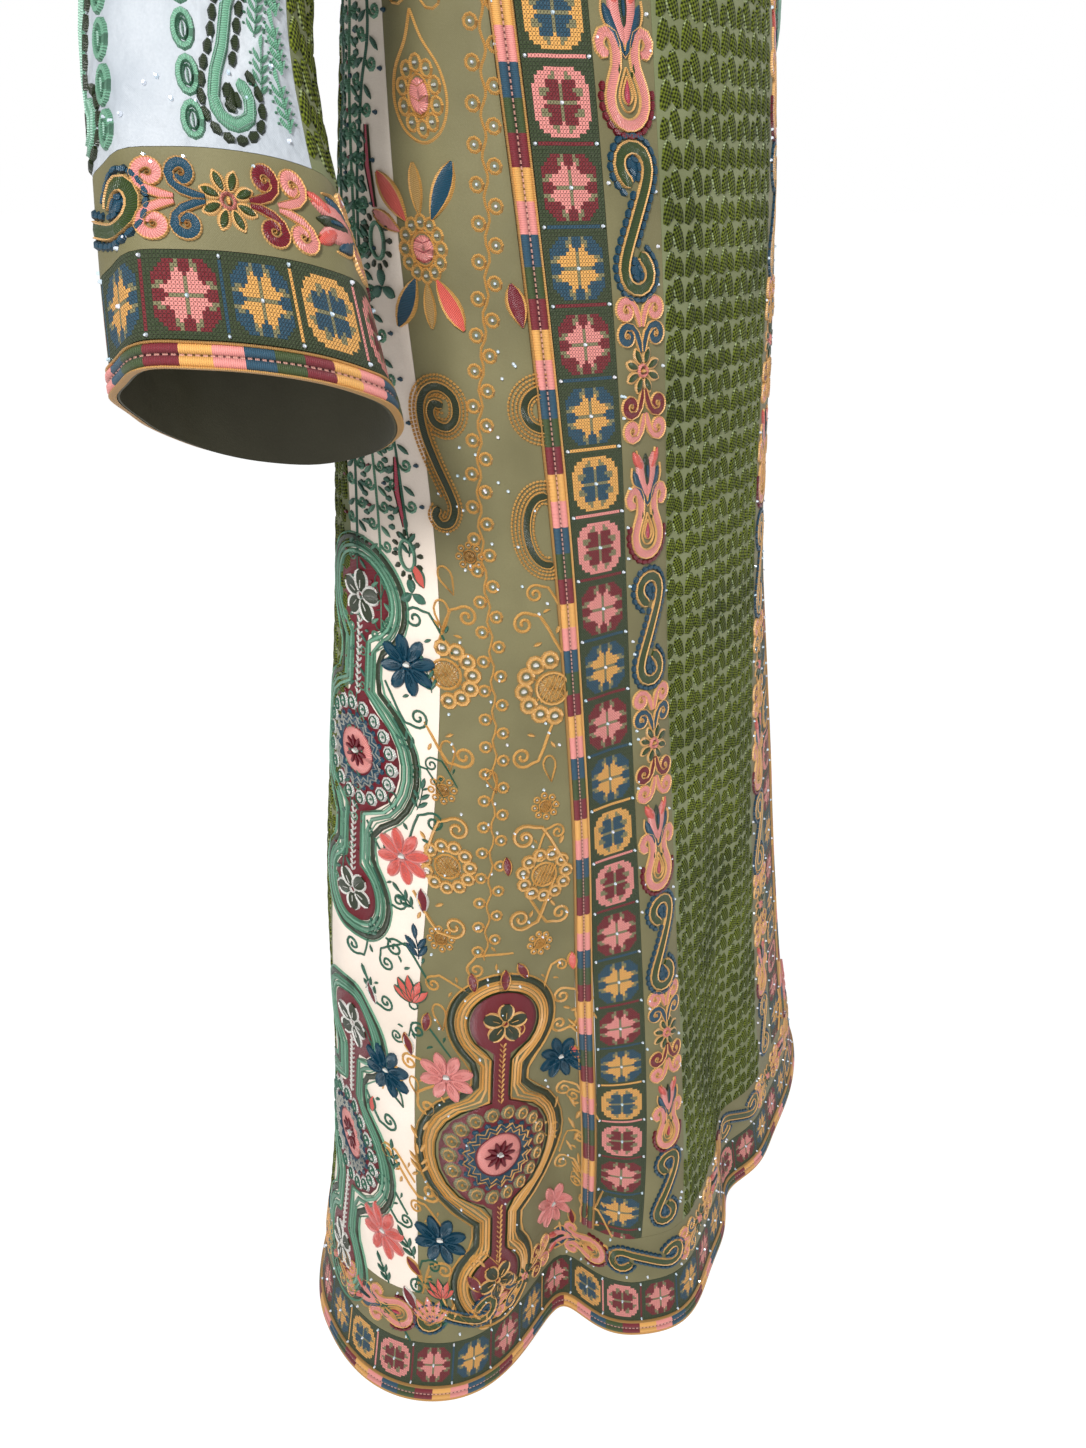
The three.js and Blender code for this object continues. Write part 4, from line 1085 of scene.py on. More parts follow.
def leaf_field(name, surface, reach, limits, low_y, high_y, clear, neck=None):
    """Leaves over a piece of cloth. surface(x, y, lift) gives points, x lies within reach, limits(level)
    are the cloth's sides, clear is the distance kept from its top, and neck(share across) the neck's
    edge. Each leaf is its outline just under the cloth, a shoulder at 0.84 of it about its middle, and
    the middle, a little higher."""
    columns = np.arange(math.floor(-reach / LEAF_COLUMN), math.ceil(reach / LEAF_COLUMN) + 1)
    steps = np.arange(math.floor(low_y / LEAF_STEP), math.ceil(high_y / LEAF_STEP) + 1)
    column, step = (g.ravel() for g in np.meshgrid(columns, steps))
    away = np.where(step % 2 == 0, 1.0, -1.0)
    stem_x = (column + 0.5) * LEAF_COLUMN + rng.normal(0, 0.4, len(column))
    stem_y = step * LEAF_STEP + rng.normal(0, 0.5, len(column))

    def keep(x, y):
        """Which leaves' middles are on the cloth."""
        low, high = limits(level_of(y))
        on = (x > low + 1) & (x < high - 1) & (y > low_y + 3) & (y < high_y - clear)
        return on if neck is None else on & (level_of(y) < neck((x - low) / (high - low)))

    def squeeze(x, y):
        """Points moved in from the seams."""
        y = np.clip(y, low_y + 1, high_y - 1)
        low, high = limits(level_of(y))
        return np.clip(x, low + 0.6, high - 0.6), y

    points, faces, uvs, paints, start = [], [], [], [], 0
    for outline in LEAVES:
        outline = np.array(outline)
        n, middle = len(outline), outline.mean(0)
        outline = middle + (outline - middle) * LEAF_SHARE
        on = keep(stem_x + away * middle[0], stem_y + middle[1])
        local = np.concatenate([outline, middle + (outline - middle) * 0.84, middle[None]])
        px, py = squeeze(stem_x[on, None] + local[:, 0] * away[on, None], stem_y[on, None] + local[:, 1])
        lift = np.repeat([-0.3, 0.95, 1.3], (n, n, 1))
        at = surface(px, py, lift + 0 * px)
        i, j = np.arange(n), (np.arange(n) + 1) % n
        rim = at[:, :n].mean(1)
        # Half the leaves are mirrored, so each one's faces are turned by its own winding.
        outward = np.einsum("ij,ij->i", np.cross(at[:, n + 1] - at[:, n], at[:, -1] - at[:, n]), at[:, -1] - rim) > 0
        for face in (np.stack([i, j, j + n, i + n], -1), np.stack([i + n, j + n, i * 0 + 2 * n], -1), i[::-1][None]):
            turned = np.where(outward[:, None, None], face, face[:, ::-1])
            faces.append((start + np.arange(len(at))[:, None, None] * (2 * n + 1) + turned).reshape(-1, face.shape[1]))
            uvs.append(local[turned].reshape(-1, face.shape[1], 2) * 0.001)
            # A pale cord shows round part of the oval leaf's edge.
            pale = (face.shape[1] == 4) & (n == 8) & np.isin(np.arange(len(face)), (1, 2, 4, 5))
            paint = np.where(pale[:, None], THREADS["rim"], THREADS["leaf"])
            paints.append(np.tile(paint, (len(at), 1)))
        points.append(at.reshape(-1, 3))
        start += at.shape[0] * at.shape[1]
    make_piece(name, np.concatenate(points), faces, leaf_stitch, "leaf_cloth", uvs, paints, sharp=70)

# %% Leaves on the front, the back and under the arms
def front_leaves(x, y, lift):
    level = level_of(y)
    return skin(x - smooth(WIDTHS, "twist", level), level, lift)


def back_leaves(x, y, lift):
    level = level_of(y)
    return skin(around(level) / 2 + x, level, lift)


leaf_field("leaves_front", front_leaves, 130,
           lambda level: (-smooth(WIDTHS, "centre", level), smooth(WIDTHS, "centre", level)),
           BORDER_TOP, TOP, 10, lambda share: front_neck(share) - 9)
leaf_field("leaves_back", back_leaves, 420,
           lambda level: (edge_at(1, 5, level) - around(level) / 2, around(level) / 2 + edge_at(-1, 5, level)),
           BORDER_TOP, TOP, 8, lambda share: back_neck(share) - 3)
for word, side in SIDES:
    sleeve, (under0, under1) = sleeves[word], under_edges[word]
    middle, reach = (under0 + under1) / 2, (under1 - under0) / 2
    leaf_field(f"leaves_under_{word}", lambda x, y, lift: sleeve.at(middle + x, -y, lift), reach,
               lambda level: (-reach, reach), -CUFF_TOP, 0, 6)

# %% [markdown]
# ## Embroidery strokes
# All the embroidery is satin thread or cord laid in strokes: a line on the flat cloth with a width at
# each of its points and a dome over it. A petal is a short stroke that swells, a bead a very short one,
# a ring a closed one. Strokes with the same number of points are kept together, so that the faces of
# thousands of them come from one array.

# %% Lines on the flat cloth
def curve(points, count=16):
    """A smooth line through points: each span is a cubic whose slopes are the neighbours' difference."""
    p = np.asarray(points, float)
    wide = np.concatenate([[2 * p[0] - p[1]], p, [2 * p[-1] - p[-2]]])
    t = np.linspace(0, len(p) - 1 - 1e-9, count)
    i, f = t.astype(int), (t % 1)[:, None]
    a, b, c, d = (wide[i + k] for k in range(4))
    return 0.5 * (2 * b + (c - a) * f + (2 * a - 5 * b + 4 * c - d) * f**2 + (3 * b - a - 3 * c + d) * f**3)


def polar(degrees, rx, ry=None):
    """Points of an ellipse at these angles: rx·cos and ry·sin, where ry is rx unless it is given."""
    a = np.radians(degrees)
    return np.stack([rx * np.cos(a), (rx if ry is None else ry) * np.sin(a)], -1)


def circle(x, y, rx, ry=None, count=14):
    return (x, y) + polar(np.arange(count) / count * 360, rx, ry)


def spiral(x, y, radius, turns, start, hand=1, count=18, inner=0.15):
    """From the outer end inward: the radius falls evenly while the angle turns."""
    s = np.linspace(0, 1, count)
    return (x, y) + polar(start + hand * turns * 360 * s, radius * (1 - (1 - inner) * s**0.85))


def offset(line, distance, closed=False):
    """The line moved sideways, to the left of its direction."""
    step = np.roll(line, -1, 0) - np.roll(line, 1, 0) if closed else np.gradient(line, axis=0)
    step = unit(step)
    return line + np.reshape(distance, (-1, 1)) * np.stack([-step[:, 1], step[:, 0]], -1)


def paced(line, step, first=0.0, last=0.0):
    """Places at even steps along a line, from first past its start to last before its end, each with the
    line's direction in degrees."""
    gone = np.concatenate([[0], np.cumsum(np.linalg.norm(np.diff(line, axis=0), axis=1))])
    at = np.arange(first, gone[-1] - last, step)
    x, y, dx, dy = (np.interp(at, gone, v) for v in (*line.T, *np.gradient(line, axis=0).T))
    return list(zip(x, y, np.degrees(np.arctan2(dy, dx))))

# %% Strokes of a motif
class Motif:
    """A list of strokes round its own origin, x to the right and y up as the cloth is looked at."""

    def __init__(self):
        self.strokes = []

    def stroke(self, line, width, colour, rise=0.8, closed=False, ends=0.55, base=0.0, edge=None):
        """A line with a width at each place. An edge colour gives it a cord along both its sides."""
        line = np.asarray(line, float)
        width = np.array(width + 0.0 * line[:, 0], float)
        if not closed:
            width[[0, -1]] *= ends
        self.strokes.append((line, width, colour, rise, closed, base, edge))
        return self

    def cord(self, line, colour="gold", width=1.5, closed=False, rise=0.95):
        return self.stroke(line, width, colour, rise, closed, 0.8)

    def petal(self, x, y, angle, length, width, colour, count=6, rise=0.95, base=0.0, swell=0.75, edge=None):
        """From its foot at x, y outward: the width follows a sine to a power, blunt at the tip."""
        t = np.linspace(0.02, 0.98, count)
        width = width * np.sin(math.pi * t**1.15) ** swell
        return self.stroke((x, y) + polar(angle, length * t), width, colour, rise, ends=1.0, base=base, edge=edge)

    def bead(self, x, y, radius, colour, angle=0.0, long=1.0, rise=0.9):
        line = (x, y) + polar(angle, np.array([-0.92, 0, 0.92]) * radius * long)
        return self.stroke(line, 2 * radius * np.array([0.55, 1, 0.55]), colour, rise, ends=1.0)

    def beads(self, line, distance, radius, step, colour, first=0.0, last=0.0, long=1.0):
        """A row of beads beside a line, left out where another bend of the line is in the way."""
        for x, y, angle in paced(offset(line, distance), step, first, last):
            if np.hypot(*(line - (x, y)).T).min() > 0.86 * abs(distance):
                self.bead(x, y, radius, colour, angle, long, 1.05)
        return self

    def ring(self, x, y, radius, colour="gold", width=1.5, ry=None, count=9, rise=0.95):
        return self.stroke(circle(x, y, radius, ry, count), width, colour, rise, True)

    def outlined(self, line, width, colour, edge="gold", rise=0.9, cord=1.3, closed=False):
        """A filled stroke with a cord laid along both its sides."""
        return self.stroke(line, np.asarray(width) + 1.6 * cord, colour, rise, closed, edge=edge)

    def add(self, other, x=0.0, y=0.0, turn=0.0, size=1.0, flip=False):
        """Another motif's strokes, mirrored, turned, scaled and moved."""
        a = math.radians(turn)
        spin = np.array([[math.cos(a), math.sin(a)], [-math.sin(a), math.cos(a)]])
        for line, width, *rest in other.strokes:
            line = line * ((-1, 1) if flip else (1, 1)) @ spin * size + (x, y)
            self.strokes.append((line, width * size, *rest))
        return self

# %% Strokes as one mesh
SECTIONS_OF_STROKE = {  # places across and heights of a stroke's outline, by how wide it is
    "thin": ([-1, 0, 1], [-0.25, 1, -0.25]),
    "middling": ([-1, -0.5, 0.5, 1], [-0.3, 0.95, 0.95, -0.3]),
    "edged": ([-1, -0.85, -0.68, 0, 0.68, 0.85, 1], [-0.3, 1.2, 0.7, 1, 0.7, 1.2, -0.3]),
    "wide": ([-1, -0.72, 0, 0.72, 1], [-0.3, 0.72, 1, 0.72, -0.3]),
    "field": (np.linspace(-1, 1, 17), [-0.3] + [1] * 15 + [-0.3]),
}
THIN, MIDDLING, FIELD = 3, 7, 30  # a stroke this wide, in millimetres, is no longer thin, or middling, or is a field
RELIEF = 1.7  # every stroke stands this many times its given height
# Painted shade: the flanks of strokes wider than thin ones are darkened, for the shade where the thread turns down to
# the cloth.
FLANK_PAINTED_SHADE = 0.72  # the threads of a wide stroke's flanks are darker by this


def embroider(name, slot, motif, surface):
    """Makes one mesh of a motif's strokes on a surface(x, y, lift)."""
    groups = {}
    for stroke in motif.strokes:
        widest = stroke[1].max()
        kind = ("edged" if stroke[6] else "field" if widest > FIELD else "thin" if widest < THIN else
                "middling" if widest < MIDDLING else "wide")
        groups.setdefault((len(stroke[0]), stroke[4], kind), []).append(stroke)
    flats, faces, uvs, paints, start = [], [], [], [], 0
    for (count, closed, kind), strokes in groups.items():
        places, heights = np.array(SECTIONS_OF_STROKE[kind])
        k = len(places)
        line, width, threads, rise, _, base, cords = zip(*strokes)
        line, half = np.stack(line), np.stack(width)[..., None] / 2
        rise, base = (np.array(v)[:, None, None] for v in (rise, base))
        step = np.roll(line, -1, 1) - np.roll(line, 1, 1) if closed else np.gradient(line, axis=1)
        step = unit(step)
        normal = np.stack([-step[..., 1], step[..., 0]], -1)
        at = line[:, :, None] + normal[:, :, None] * (half * places)[..., None]
        taper = 1.0 if kind == "thin" else np.minimum(1.0, half)
        up = np.where(heights < 0, base + heights, (base + heights * rise * taper) * RELIEF) + 0 * half
        flats.append(np.concatenate([at, up[..., None]], -1).reshape(-1, 3))
        along = np.cumsum(np.linalg.norm(np.diff(line, axis=1, prepend=line[:, :1]), axis=-1), 1)
        flat_uv = np.stack(np.broadcast_arrays(along[..., None], half * places), -1) * 0.001
        number = start + np.arange(len(strokes) * count * k).reshape(len(strokes), count, k)
        rows = np.concatenate([number, number[:, :1]], 1) if closed else number
        maps = np.concatenate([flat_uv, flat_uv[:, :1] + [0.001, 0]], 1) if closed else flat_uv
        ring = np.concatenate([rows, rows[:, :, :1]], 2)
        maps = np.concatenate([maps, maps[:, :, :1]], 2)
        corner = lambda g: np.stack([g[:, :-1, :-1], g[:, :-1, 1:], g[:, 1:, 1:], g[:, 1:, :-1]], 3)
        quads, quad_uv = corner(ring), corner(maps)
        colour = np.array([THREADS[name] for name in threads])
        paint = colour[:, None, None] + np.zeros((1, quads.shape[1], k, 1))
        # Painted shade on both flanks of the stroke.
        if kind != "thin":
            paint[:, :, [0, k - 2]] *= FLANK_PAINTED_SHADE
        if kind == "edged":
            paint[:, :, [0, 1, 4, 5]] = np.array([THREADS[name] for name in cords])[:, None, None]
        faces.append(quads.reshape(-1, 4))
        uvs.append(quad_uv.reshape(-1, 4, 2))
        paints.append(paint.reshape(-1, 3))
        if not closed:
            faces += [number[:, 0, ::-1], number[:, -1]]
            uvs += [flat_uv[:, 0, ::-1], flat_uv[:, -1]]
            paints += [colour, colour]
        start += len(strokes) * count * k
    flat = np.concatenate(flats)
    points = surface(*flat.T)
    i, j, k = faces[0][:, :3].T
    a, b, c = points[i], points[j], points[k]
    lifted = surface(*(flat[i] + (0, 0, 1)).T)
    # The bottom faces point the other way, so the top ones, whose corners are lifted, decide.
    top = flat[j, 2] + flat[k, 2] > 0.3
    if np.median(np.einsum("ij,ij->i", np.cross(b - a, c - a), lifted - a)[top]) < 0:
        faces, uvs = [f[:, ::-1] for f in faces], [u[:, ::-1] for u in uvs]
    make_piece(name, points, faces, satin_thread, slot, uvs, paints, sharp=60)

# %% [markdown]
# ## Stones
# Small faceted stones are glued among the stitches. Each is a flat six-sided table on a wider girdle,
# the smallest thing that still catches the light like a cut stone.

# %% Crystals
def stone_mesh(name, groups):
    """groups is a list of (surface, places (n, 3) of x, y and radius): a ring of six at the girdle and
    one at the table, closed by two six-sided faces."""
    points = []
    for surface, places in groups:
        places = np.asarray(places, float)
        turn = np.arange(6) * 60 + np.degrees(rng.uniform(0, 1, (len(places), 1)))
        rings = []
        for scale, lift in ((1.0, 0.1), (0.55, 1.4)):
            at = places[:, None, :2] + polar(turn, places[:, 2:] * scale)
            rings.append(surface(at[..., 0], at[..., 1], lift * np.minimum(places[:, 2:], 1.3) + 0 * turn))
        points.append(np.stack(rings, 1).reshape(-1, 3))
    points = np.concatenate(points)
    base = (np.arange(len(points) // 12) * 12)[:, None, None]
    i, j = np.arange(6), (np.arange(6) + 1) % 6
    sides = np.stack([i, j, j + 6, i + 6], -1)
    faces = [(base + sides[None]).reshape(-1, 4), (base + (i + 6)[None, None]).reshape(-1, 6),
             (base + i[::-1][None, None]).reshape(-1, 6)]
    top = faces[1]
    a, b, c = points[top[:, 0]], points[top[:, 1]], points[top[:, 2]]
    outward = np.einsum("ij,ij->i", np.cross(b - a, c - a), a - points[base[:, 0, 0]]) > 0
    for k, count in ((0, 6), (1, 1), (2, 1)):
        turned = np.repeat(~outward, count)
        faces[k][turned] = faces[k][turned][:, ::-1]
    make_piece(name, points, faces, crystal, "sage_cloth", sharp=10)

# %% [markdown]
# ## Motifs of the narrow sage strips
# Three motifs take turns down the strip and round the hem and cuffs: a tulip over a horseshoe-shaped
# paisley, a serpentine with beads, and a flower between pairs of scrolls. They are traditional shapes,
# drawn here from a few points each on a strip 46 mm wide.

# %% Tulip over a paisley
def paisley():
    m = Motif()
    arm = [(-12.5, 2), (-16.8, 3.2), (-18.4, 8.6), (-14.4, 13.8), (-9, 11.8), (-6.8, 4), (-7.4, -5), (-10.8, -13),
           (-13.2, -21), (-12, -29.5), (-7, -35.2), (0, -37.2)]
    path = curve(arm + [(-x, y) for x, y in arm[-2::-1]], 34)
    m.outlined(path, 6.2, "pink", "paleyellow", 0.9, 1.4)
    m.cord(path[3:-3], "paleyellow", 1.2)
    outside = 6.4 if offset(path, 1.0)[17, 1] < path[17, 1] else -6.4
    m.beads(path, outside, 2.75, 5.7, "burgundy", 30, 30)
    for size in (1.0, 0.62):
        half = [(0, -5), (-4.6, -15), (-6.2, -22), (-3.6, -28), (0, -29.5)]
        drop = curve(half + [(-x, y) for x, y in half[-2::-1]], 22)
        m.cord(drop * size + (0, -18 * (1 - size)), "paleyellow", 1.3)
    m.stroke([(0, -10), (0, -16), (0, -22), (0, -26)], [1, 3.6, 5.0, 2.4], "rose", 0.8)
    for way in (1, -1):
        m.petal(way * 4.2, -11, 90 - way * 16, 12, 4.4, "green", 6, 0.8)
        m.petal(0, -1, 90 - way * 24, 33, 9.4, "blue", 8, 0.9)
        m.cord(curve([(0, 0), (way * 8.5, 10), (way * 15, 22), (way * 14.6, 31)], 9), "paleyellow", 1.3)
        m.petal(way * 0.4, 5, 90 - way * 12, 36, 11.5, "pink", 8, 1.0)
        m.petal(way * 3.4, 26, 90 - way * 30, 19, 8.0, "coral", 6, 1.15)
        m.cord(curve([(0, 4), (way * 3.6, 18), (way * 6.0, 30), (way * 9.8, 43)], 9), "paleyellow", 1.3)
    m.petal(0, 13, 90, 27, 8.4, "olive", 7, 1.2)
    m.petal(0, 19, 90, 15, 3.6, "blue", 5, 1.6)
    return m

# %% Serpentine
def serpentine():
    m = Motif()
    hook = [(-2.0, 21), (-6.5, 24.5), (-10.2, 31.5), (-8, 39.5), (0.5, 43), (9.2, 39), (12, 30), (9, 19.5), (4.2, 9)]
    path = curve(hook + [(0, 0)] + [(-x, -y) for x, y in hook[::-1]], 34)
    m.outlined(path, 6.8, "green", "paleyellow", 1.0, 1.5)
    for way in (1, -1):
        m.petal(way * 0.6, way * 22, 90 * way, 17.5, 9.5, "blue", 6, 0.8)
        m.beads(path, way * 7.0, 2.8, 5.9, "blue", 3, 3)
    return m

# %% Flower between scrolls
def scroll_pair(colour, spread=13.0):
    """Two scrolls back to back: each leaves the middle, swings out and curls in on itself."""
    m = Motif()
    for way in (1, -1):
        curl = spiral(way * spread, 2.5, 6.4, 0.95, 90, -way, 12, 0.45)
        path = curve(np.concatenate([[(way * 1.4, -8.5), (way * 2.8, -1), (way * 6.6, 6.4)], curl]), 19)
        width = np.interp(np.arange(19), (0, 6, 15, 18), (3.4, 5.2, 4.6, 2.4))
        m.outlined(path, width, colour, "paleyellow", 0.95, 1.2)
        m.stroke(spiral(way * spread, 2.5, 2.4, 1.0, -60, -way, 9, 0.2), 1.3, "paleyellow", 1.1)
    return m


def small_flower():
    m = Motif()
    for angle in np.arange(22.5, 360, 45):
        x, y = polar(angle, 4.6)
        m.petal(x * 0.8, y * 0.8, angle, 13.3, 9.0, "paleyellow", 6, 0.7, swell=0.6)
        m.petal(x, y, angle, 11.5, 6.4, "green", 6, 1.3)
    return m.ring(0, 0, 4.0, "pink", 2.6, rise=1.5).bead(0, 0, 1.9, "gold", rise=1.5)


def scrolls_and_flower():
    m = Motif()
    m.add(scroll_pair("pink"), y=38).add(scroll_pair("blue"), y=21.5)
    m.add(small_flower())
    return m.add(scroll_pair("burgundy"), y=-21, turn=180).add(scroll_pair("pink"), y=-38, turn=180)

# %% Motifs down the strips
STONE = 1.3  # a crystal's radius
MOTIF_STEP = 92.0  # from one motif's middle to the next at full size
BAND_MOTIFS = [paisley(), serpentine(), scrolls_and_flower()]
# Middles of the motifs down the strip: they come a little closer toward the hem.
BAND_MIDDLES = [-1310, -1236, -1152, -1064, -974, -880, -782, -684, -586, -490, -398, -306, -214, -122, -30]


def strewn(middle, half):
    """Crystals scattered at the strip's edges about a motif."""
    return [(rng.choice((-1, 1)) * rng.uniform(17, 21.5), middle + rng.uniform(-half, half), STONE) for _ in range(4)]


def worn_level(y):
    """The level at a height, kept a little under the shoulder line."""
    return np.minimum(level_of(np.minimum(y, TOP - 1)), -0.5)


for word, side in SIDES:
    strip, places = Motif(), []
    for i, middle in enumerate(BAND_MIDDLES):
        near = min(abs(middle - other) for other in BAND_MIDDLES if other != middle)
        strip.add(BAND_MOTIFS[(10 - i) % 3], y=middle, size=min(1.0, near / MOTIF_STEP))
        places += [p for p in strewn(middle, 44) if BORDER_TOP + 4 < p[1] < TOP - 6]

    def band_surface(x, y, lift, side=side):
        level = worn_level(y)
        return skin((seam_at(side, 0, level) + seam_at(side, 1, level)) / 2 - x, level, lift)

    embroider(f"scrolls_band_{word}", "sage_cloth", strip, band_surface)
    stones.append((band_surface, places))

# %% [markdown]
# The same motifs lie on their sides round the hem and round the cuffs, so the strip's own direction
# becomes the way round.

# %% Border scrolls
def lying(kinds, pitch, phase, surface, name):
    """Motifs of these kinds at (number + phase) steps round."""
    ring, places = Motif(), []
    for i, kind in enumerate(kinds):
        ring.add(BAND_MOTIFS[kind], y=(i + phase) * pitch, size=pitch / MOTIF_STEP)
        places += strewn((i + phase) * pitch, pitch / 2)
    embroider(name, "sage_cloth", ring, surface)
    stones.append((surface, places))


def hem_surface(x, y, lift):
    level = (BORDER_TOP + HEM_CROSS_TOP) / 2 + x
    return skin(y / round_length * around(level), level, lift)


HEM_SCROLLS = 24
lying([(6 - i) % 3 for i in range(HEM_SCROLLS)], round_length / HEM_SCROLLS, 0, hem_surface, "scrolls_hem")
for word, side in SIDES:
    def cuff_surface(x, y, lift, sleeve=sleeves[word]):
        return sleeve.at(-y, CUFF_TOP + BORDER_SAGE / 2 - x, lift)

    lying((1, 2, 1, 0, 2), TURN / 5, 0.2, cuff_surface, f"scrolls_cuff_{word}")

# %% [markdown]
# ## The side fronts
# The sage side front carries a gold vine with ring loops, two flowers high up, beaded curls, scrolls,
# and near the hem a tall cartouche: two round heads joined by necks to an oval medallion. Places are
# measured outward from the middle of the front, so one motif serves both sides, mirrored.

# %% Small motifs of cord
def tailed_scroll(colour="gold", width=2.9, radius=9.5):
    """A long swung tail that runs into a curl of one and a half turns."""
    tail = np.array([(2.9, -2.7), (2.2, -1.2), (1.45, 0.45)]) * radius
    path = np.concatenate([tail, spiral(0, 0, radius, 1.5, 45, 1, 16, 0.15)])
    m = Motif().stroke(curve(path, 26), width, colour, 0.95, ends=0.7)
    for across, up, angle in ((2.5, -1.0, 60), (1.3, -1.6, 200)):
        m.petal(across * radius, up * radius, angle, radius * 0.75, radius * 0.34, colour, 5, 0.9)
    return m


def tear(colour="gold", length=24.0, width=11.0):
    side = curve([(0, 0), (width / 2, length * 0.62), (width * 0.3, length * 0.93), (0, length)], 8)
    return Motif().stroke(np.concatenate([side, (side * (-1, 1))[-2:0:-1]]), 2.0, colour, 0.95, True)


def ring_flower(radius, rings, first=0.0, last=360.0):
    """Ring-shaped petals with a crystal in each, round a heart netted with cord."""
    m = Motif()
    for x, y in polar(np.linspace(first, last, rings, endpoint=last - first < 360), radius * 0.75):
        m.ring(x, y, radius * 0.19, "gold", radius * 0.15).bead(x, y, radius * 0.07, "white", rise=0.8)
    heart = radius * 0.42
    m.stroke(circle(0, 0, heart * 0.45, count=12), heart * 0.9, "ochre", 0.5, True)
    m.ring(0, 0, heart, "gold", radius * 0.1, count=18)
    for way in (1, -1):
        for d in np.arange(-0.6, 0.7, 0.3) * heart:
            x, y = math.sqrt(heart**2 - d * d) * np.array([way * 0.5, 0.86])
            m.cord([(d + x, y), (d, 0), (d - x, -y)], "gold", radius * 0.045)
    return m

# %% Motifs of satin and beads
def satin_flower(petal, edge, radius=23.0):
    """Eight padded satin petals, each with a cord at its edge and lighter stitches at its foot."""
    m = Motif()
    for a in range(8, 368, 45):
        m.petal(*polar(a, radius * 0.16), a, radius * 0.86, radius * 0.46, petal, 7, 1.3, swell=0.5, edge=edge)
        for off, length in ((-7, 0.3), (0, 0.42), (7, 0.3)):
            m.petal(*polar(a + off, radius * 0.3), a + off, radius * length, radius * 0.05, edge, 4, 1.7)
    return m.ring(0, 0, radius * 0.17, edge, radius * 0.12, rise=1.6).bead(0, 0, radius * 0.12, "white", rise=1.6)


def bud(colour, edge="gold", length=17.0, width=8.0):
    return Motif().petal(0, -1, 90, length + 2, width + 1.6, colour, 7, 1.1, edge=edge)


def spray(colour, rows=3, length=14.0, width=4.6):
    """Pairs of leaves up a short stem, and one at its tip."""
    m = Motif().cord(curve([(0, -10), (1.2, 0), (0, 8 * rows)], 8), colour, 1.3)
    for i in range(rows):
        for way in (1, -1):
            m.petal(0, i * 8.0 - 8, 90 - way * 40, length, width, colour, 6, 1.0)
    return m.petal(0, 8 * rows - 6, 90, length, width, colour, 6, 1.0)


def lily(colour, edge):
    """Three petals swept up and out from one foot, over a small curl."""
    m = Motif()
    for turn, length, width in ((-52, 22, 8), (52, 22, 8), (-26, 26, 9), (26, 26, 9), (0, 28, 9)):
        m.add(bud(colour, edge, length, width), turn=turn)
    return m.ring(0, -3, 4.5, edge, 2.0)


def beaded(path, distances):
    """A dark line with a cord at each side and rows of tiny beads along it, at these distances."""
    m = Motif().outlined(path, 5.0, "olive", "gold", 0.9, 1.2)
    for distance in distances:
        m.beads(path, distance, 1.1, 2.7, "gold")
    return m


def hoop(rx, ry):
    """Half a beaded loop, open toward the piping."""
    return beaded(polar(np.linspace(78, 282, 22), rx, ry), (5.2, -5.2, -7.9, -10.6))


def beaded_stem():
    """A beaded spiral whose end runs down to a second, smaller curl."""
    places = [(2, 3), (-5, 4), (-8, -2), (-5, -9), (4, -11), (11, -4), (11, 8), (2, 15), (-9, 13), (-15, 2),
              (-14, -16), (-8, -36), (-1, -54), (2, -66), (-2, -76), (-9, -78), (-13, -72), (-10, -66)]
    return beaded(curve(places, 60), (5.0, -5.0, -7.6))

# %% [markdown]
# The cartouche's outline is one formula: each head and the medallion is an ellipse of half widths, the
# necks are a constant, and a power mean joins them without corners. Taking a distance off every size
# gives the next outline inside it, so cord, dark band and pale rows all nest.

# %% Cartouches
def cartouche_half_width(s, ovals, neck, inset):
    """(Σ wᵢ⁵)^(1/5), where wᵢ is each oval's half width at s and the neck's between the end ovals."""
    total = 0
    for c, rx, ry in ovals:
        total = total + ((rx - inset) * np.sqrt(np.clip(1 - ((s - c) / (ry - inset)) ** 2, 0, 1))) ** 5
    inside = (s < ovals[0][0]) & (s > ovals[-1][0])
    return (total + np.where(inside, max(neck - inset, 0.1) ** 5, 0)) ** 0.2


def cartouche_levels(ovals, inset, count):
    top, foot = ovals[0][0] + ovals[0][2] - inset, ovals[-1][0] - ovals[-1][2] + inset
    t = np.linspace(0, 1, count)
    return top + (foot - top) * (t - np.sin(2 * math.pi * t) / (2 * math.pi) * 0.85)

# %% A whole cartouche
def head_flower(edge, petal):
    m = Motif()
    for a in range(90, 450, 72):
        m.petal(*polar(a, 2.8), a, 17.0, 16.0, petal, 7, 1.2, swell=0.36, edge=edge)
        m.petal(*polar(a, 5.5), a, 6.5, 1.6, edge, 4, 1.7)
    return m.ring(0, 0, 3.0, edge, 1.8, rise=1.5)


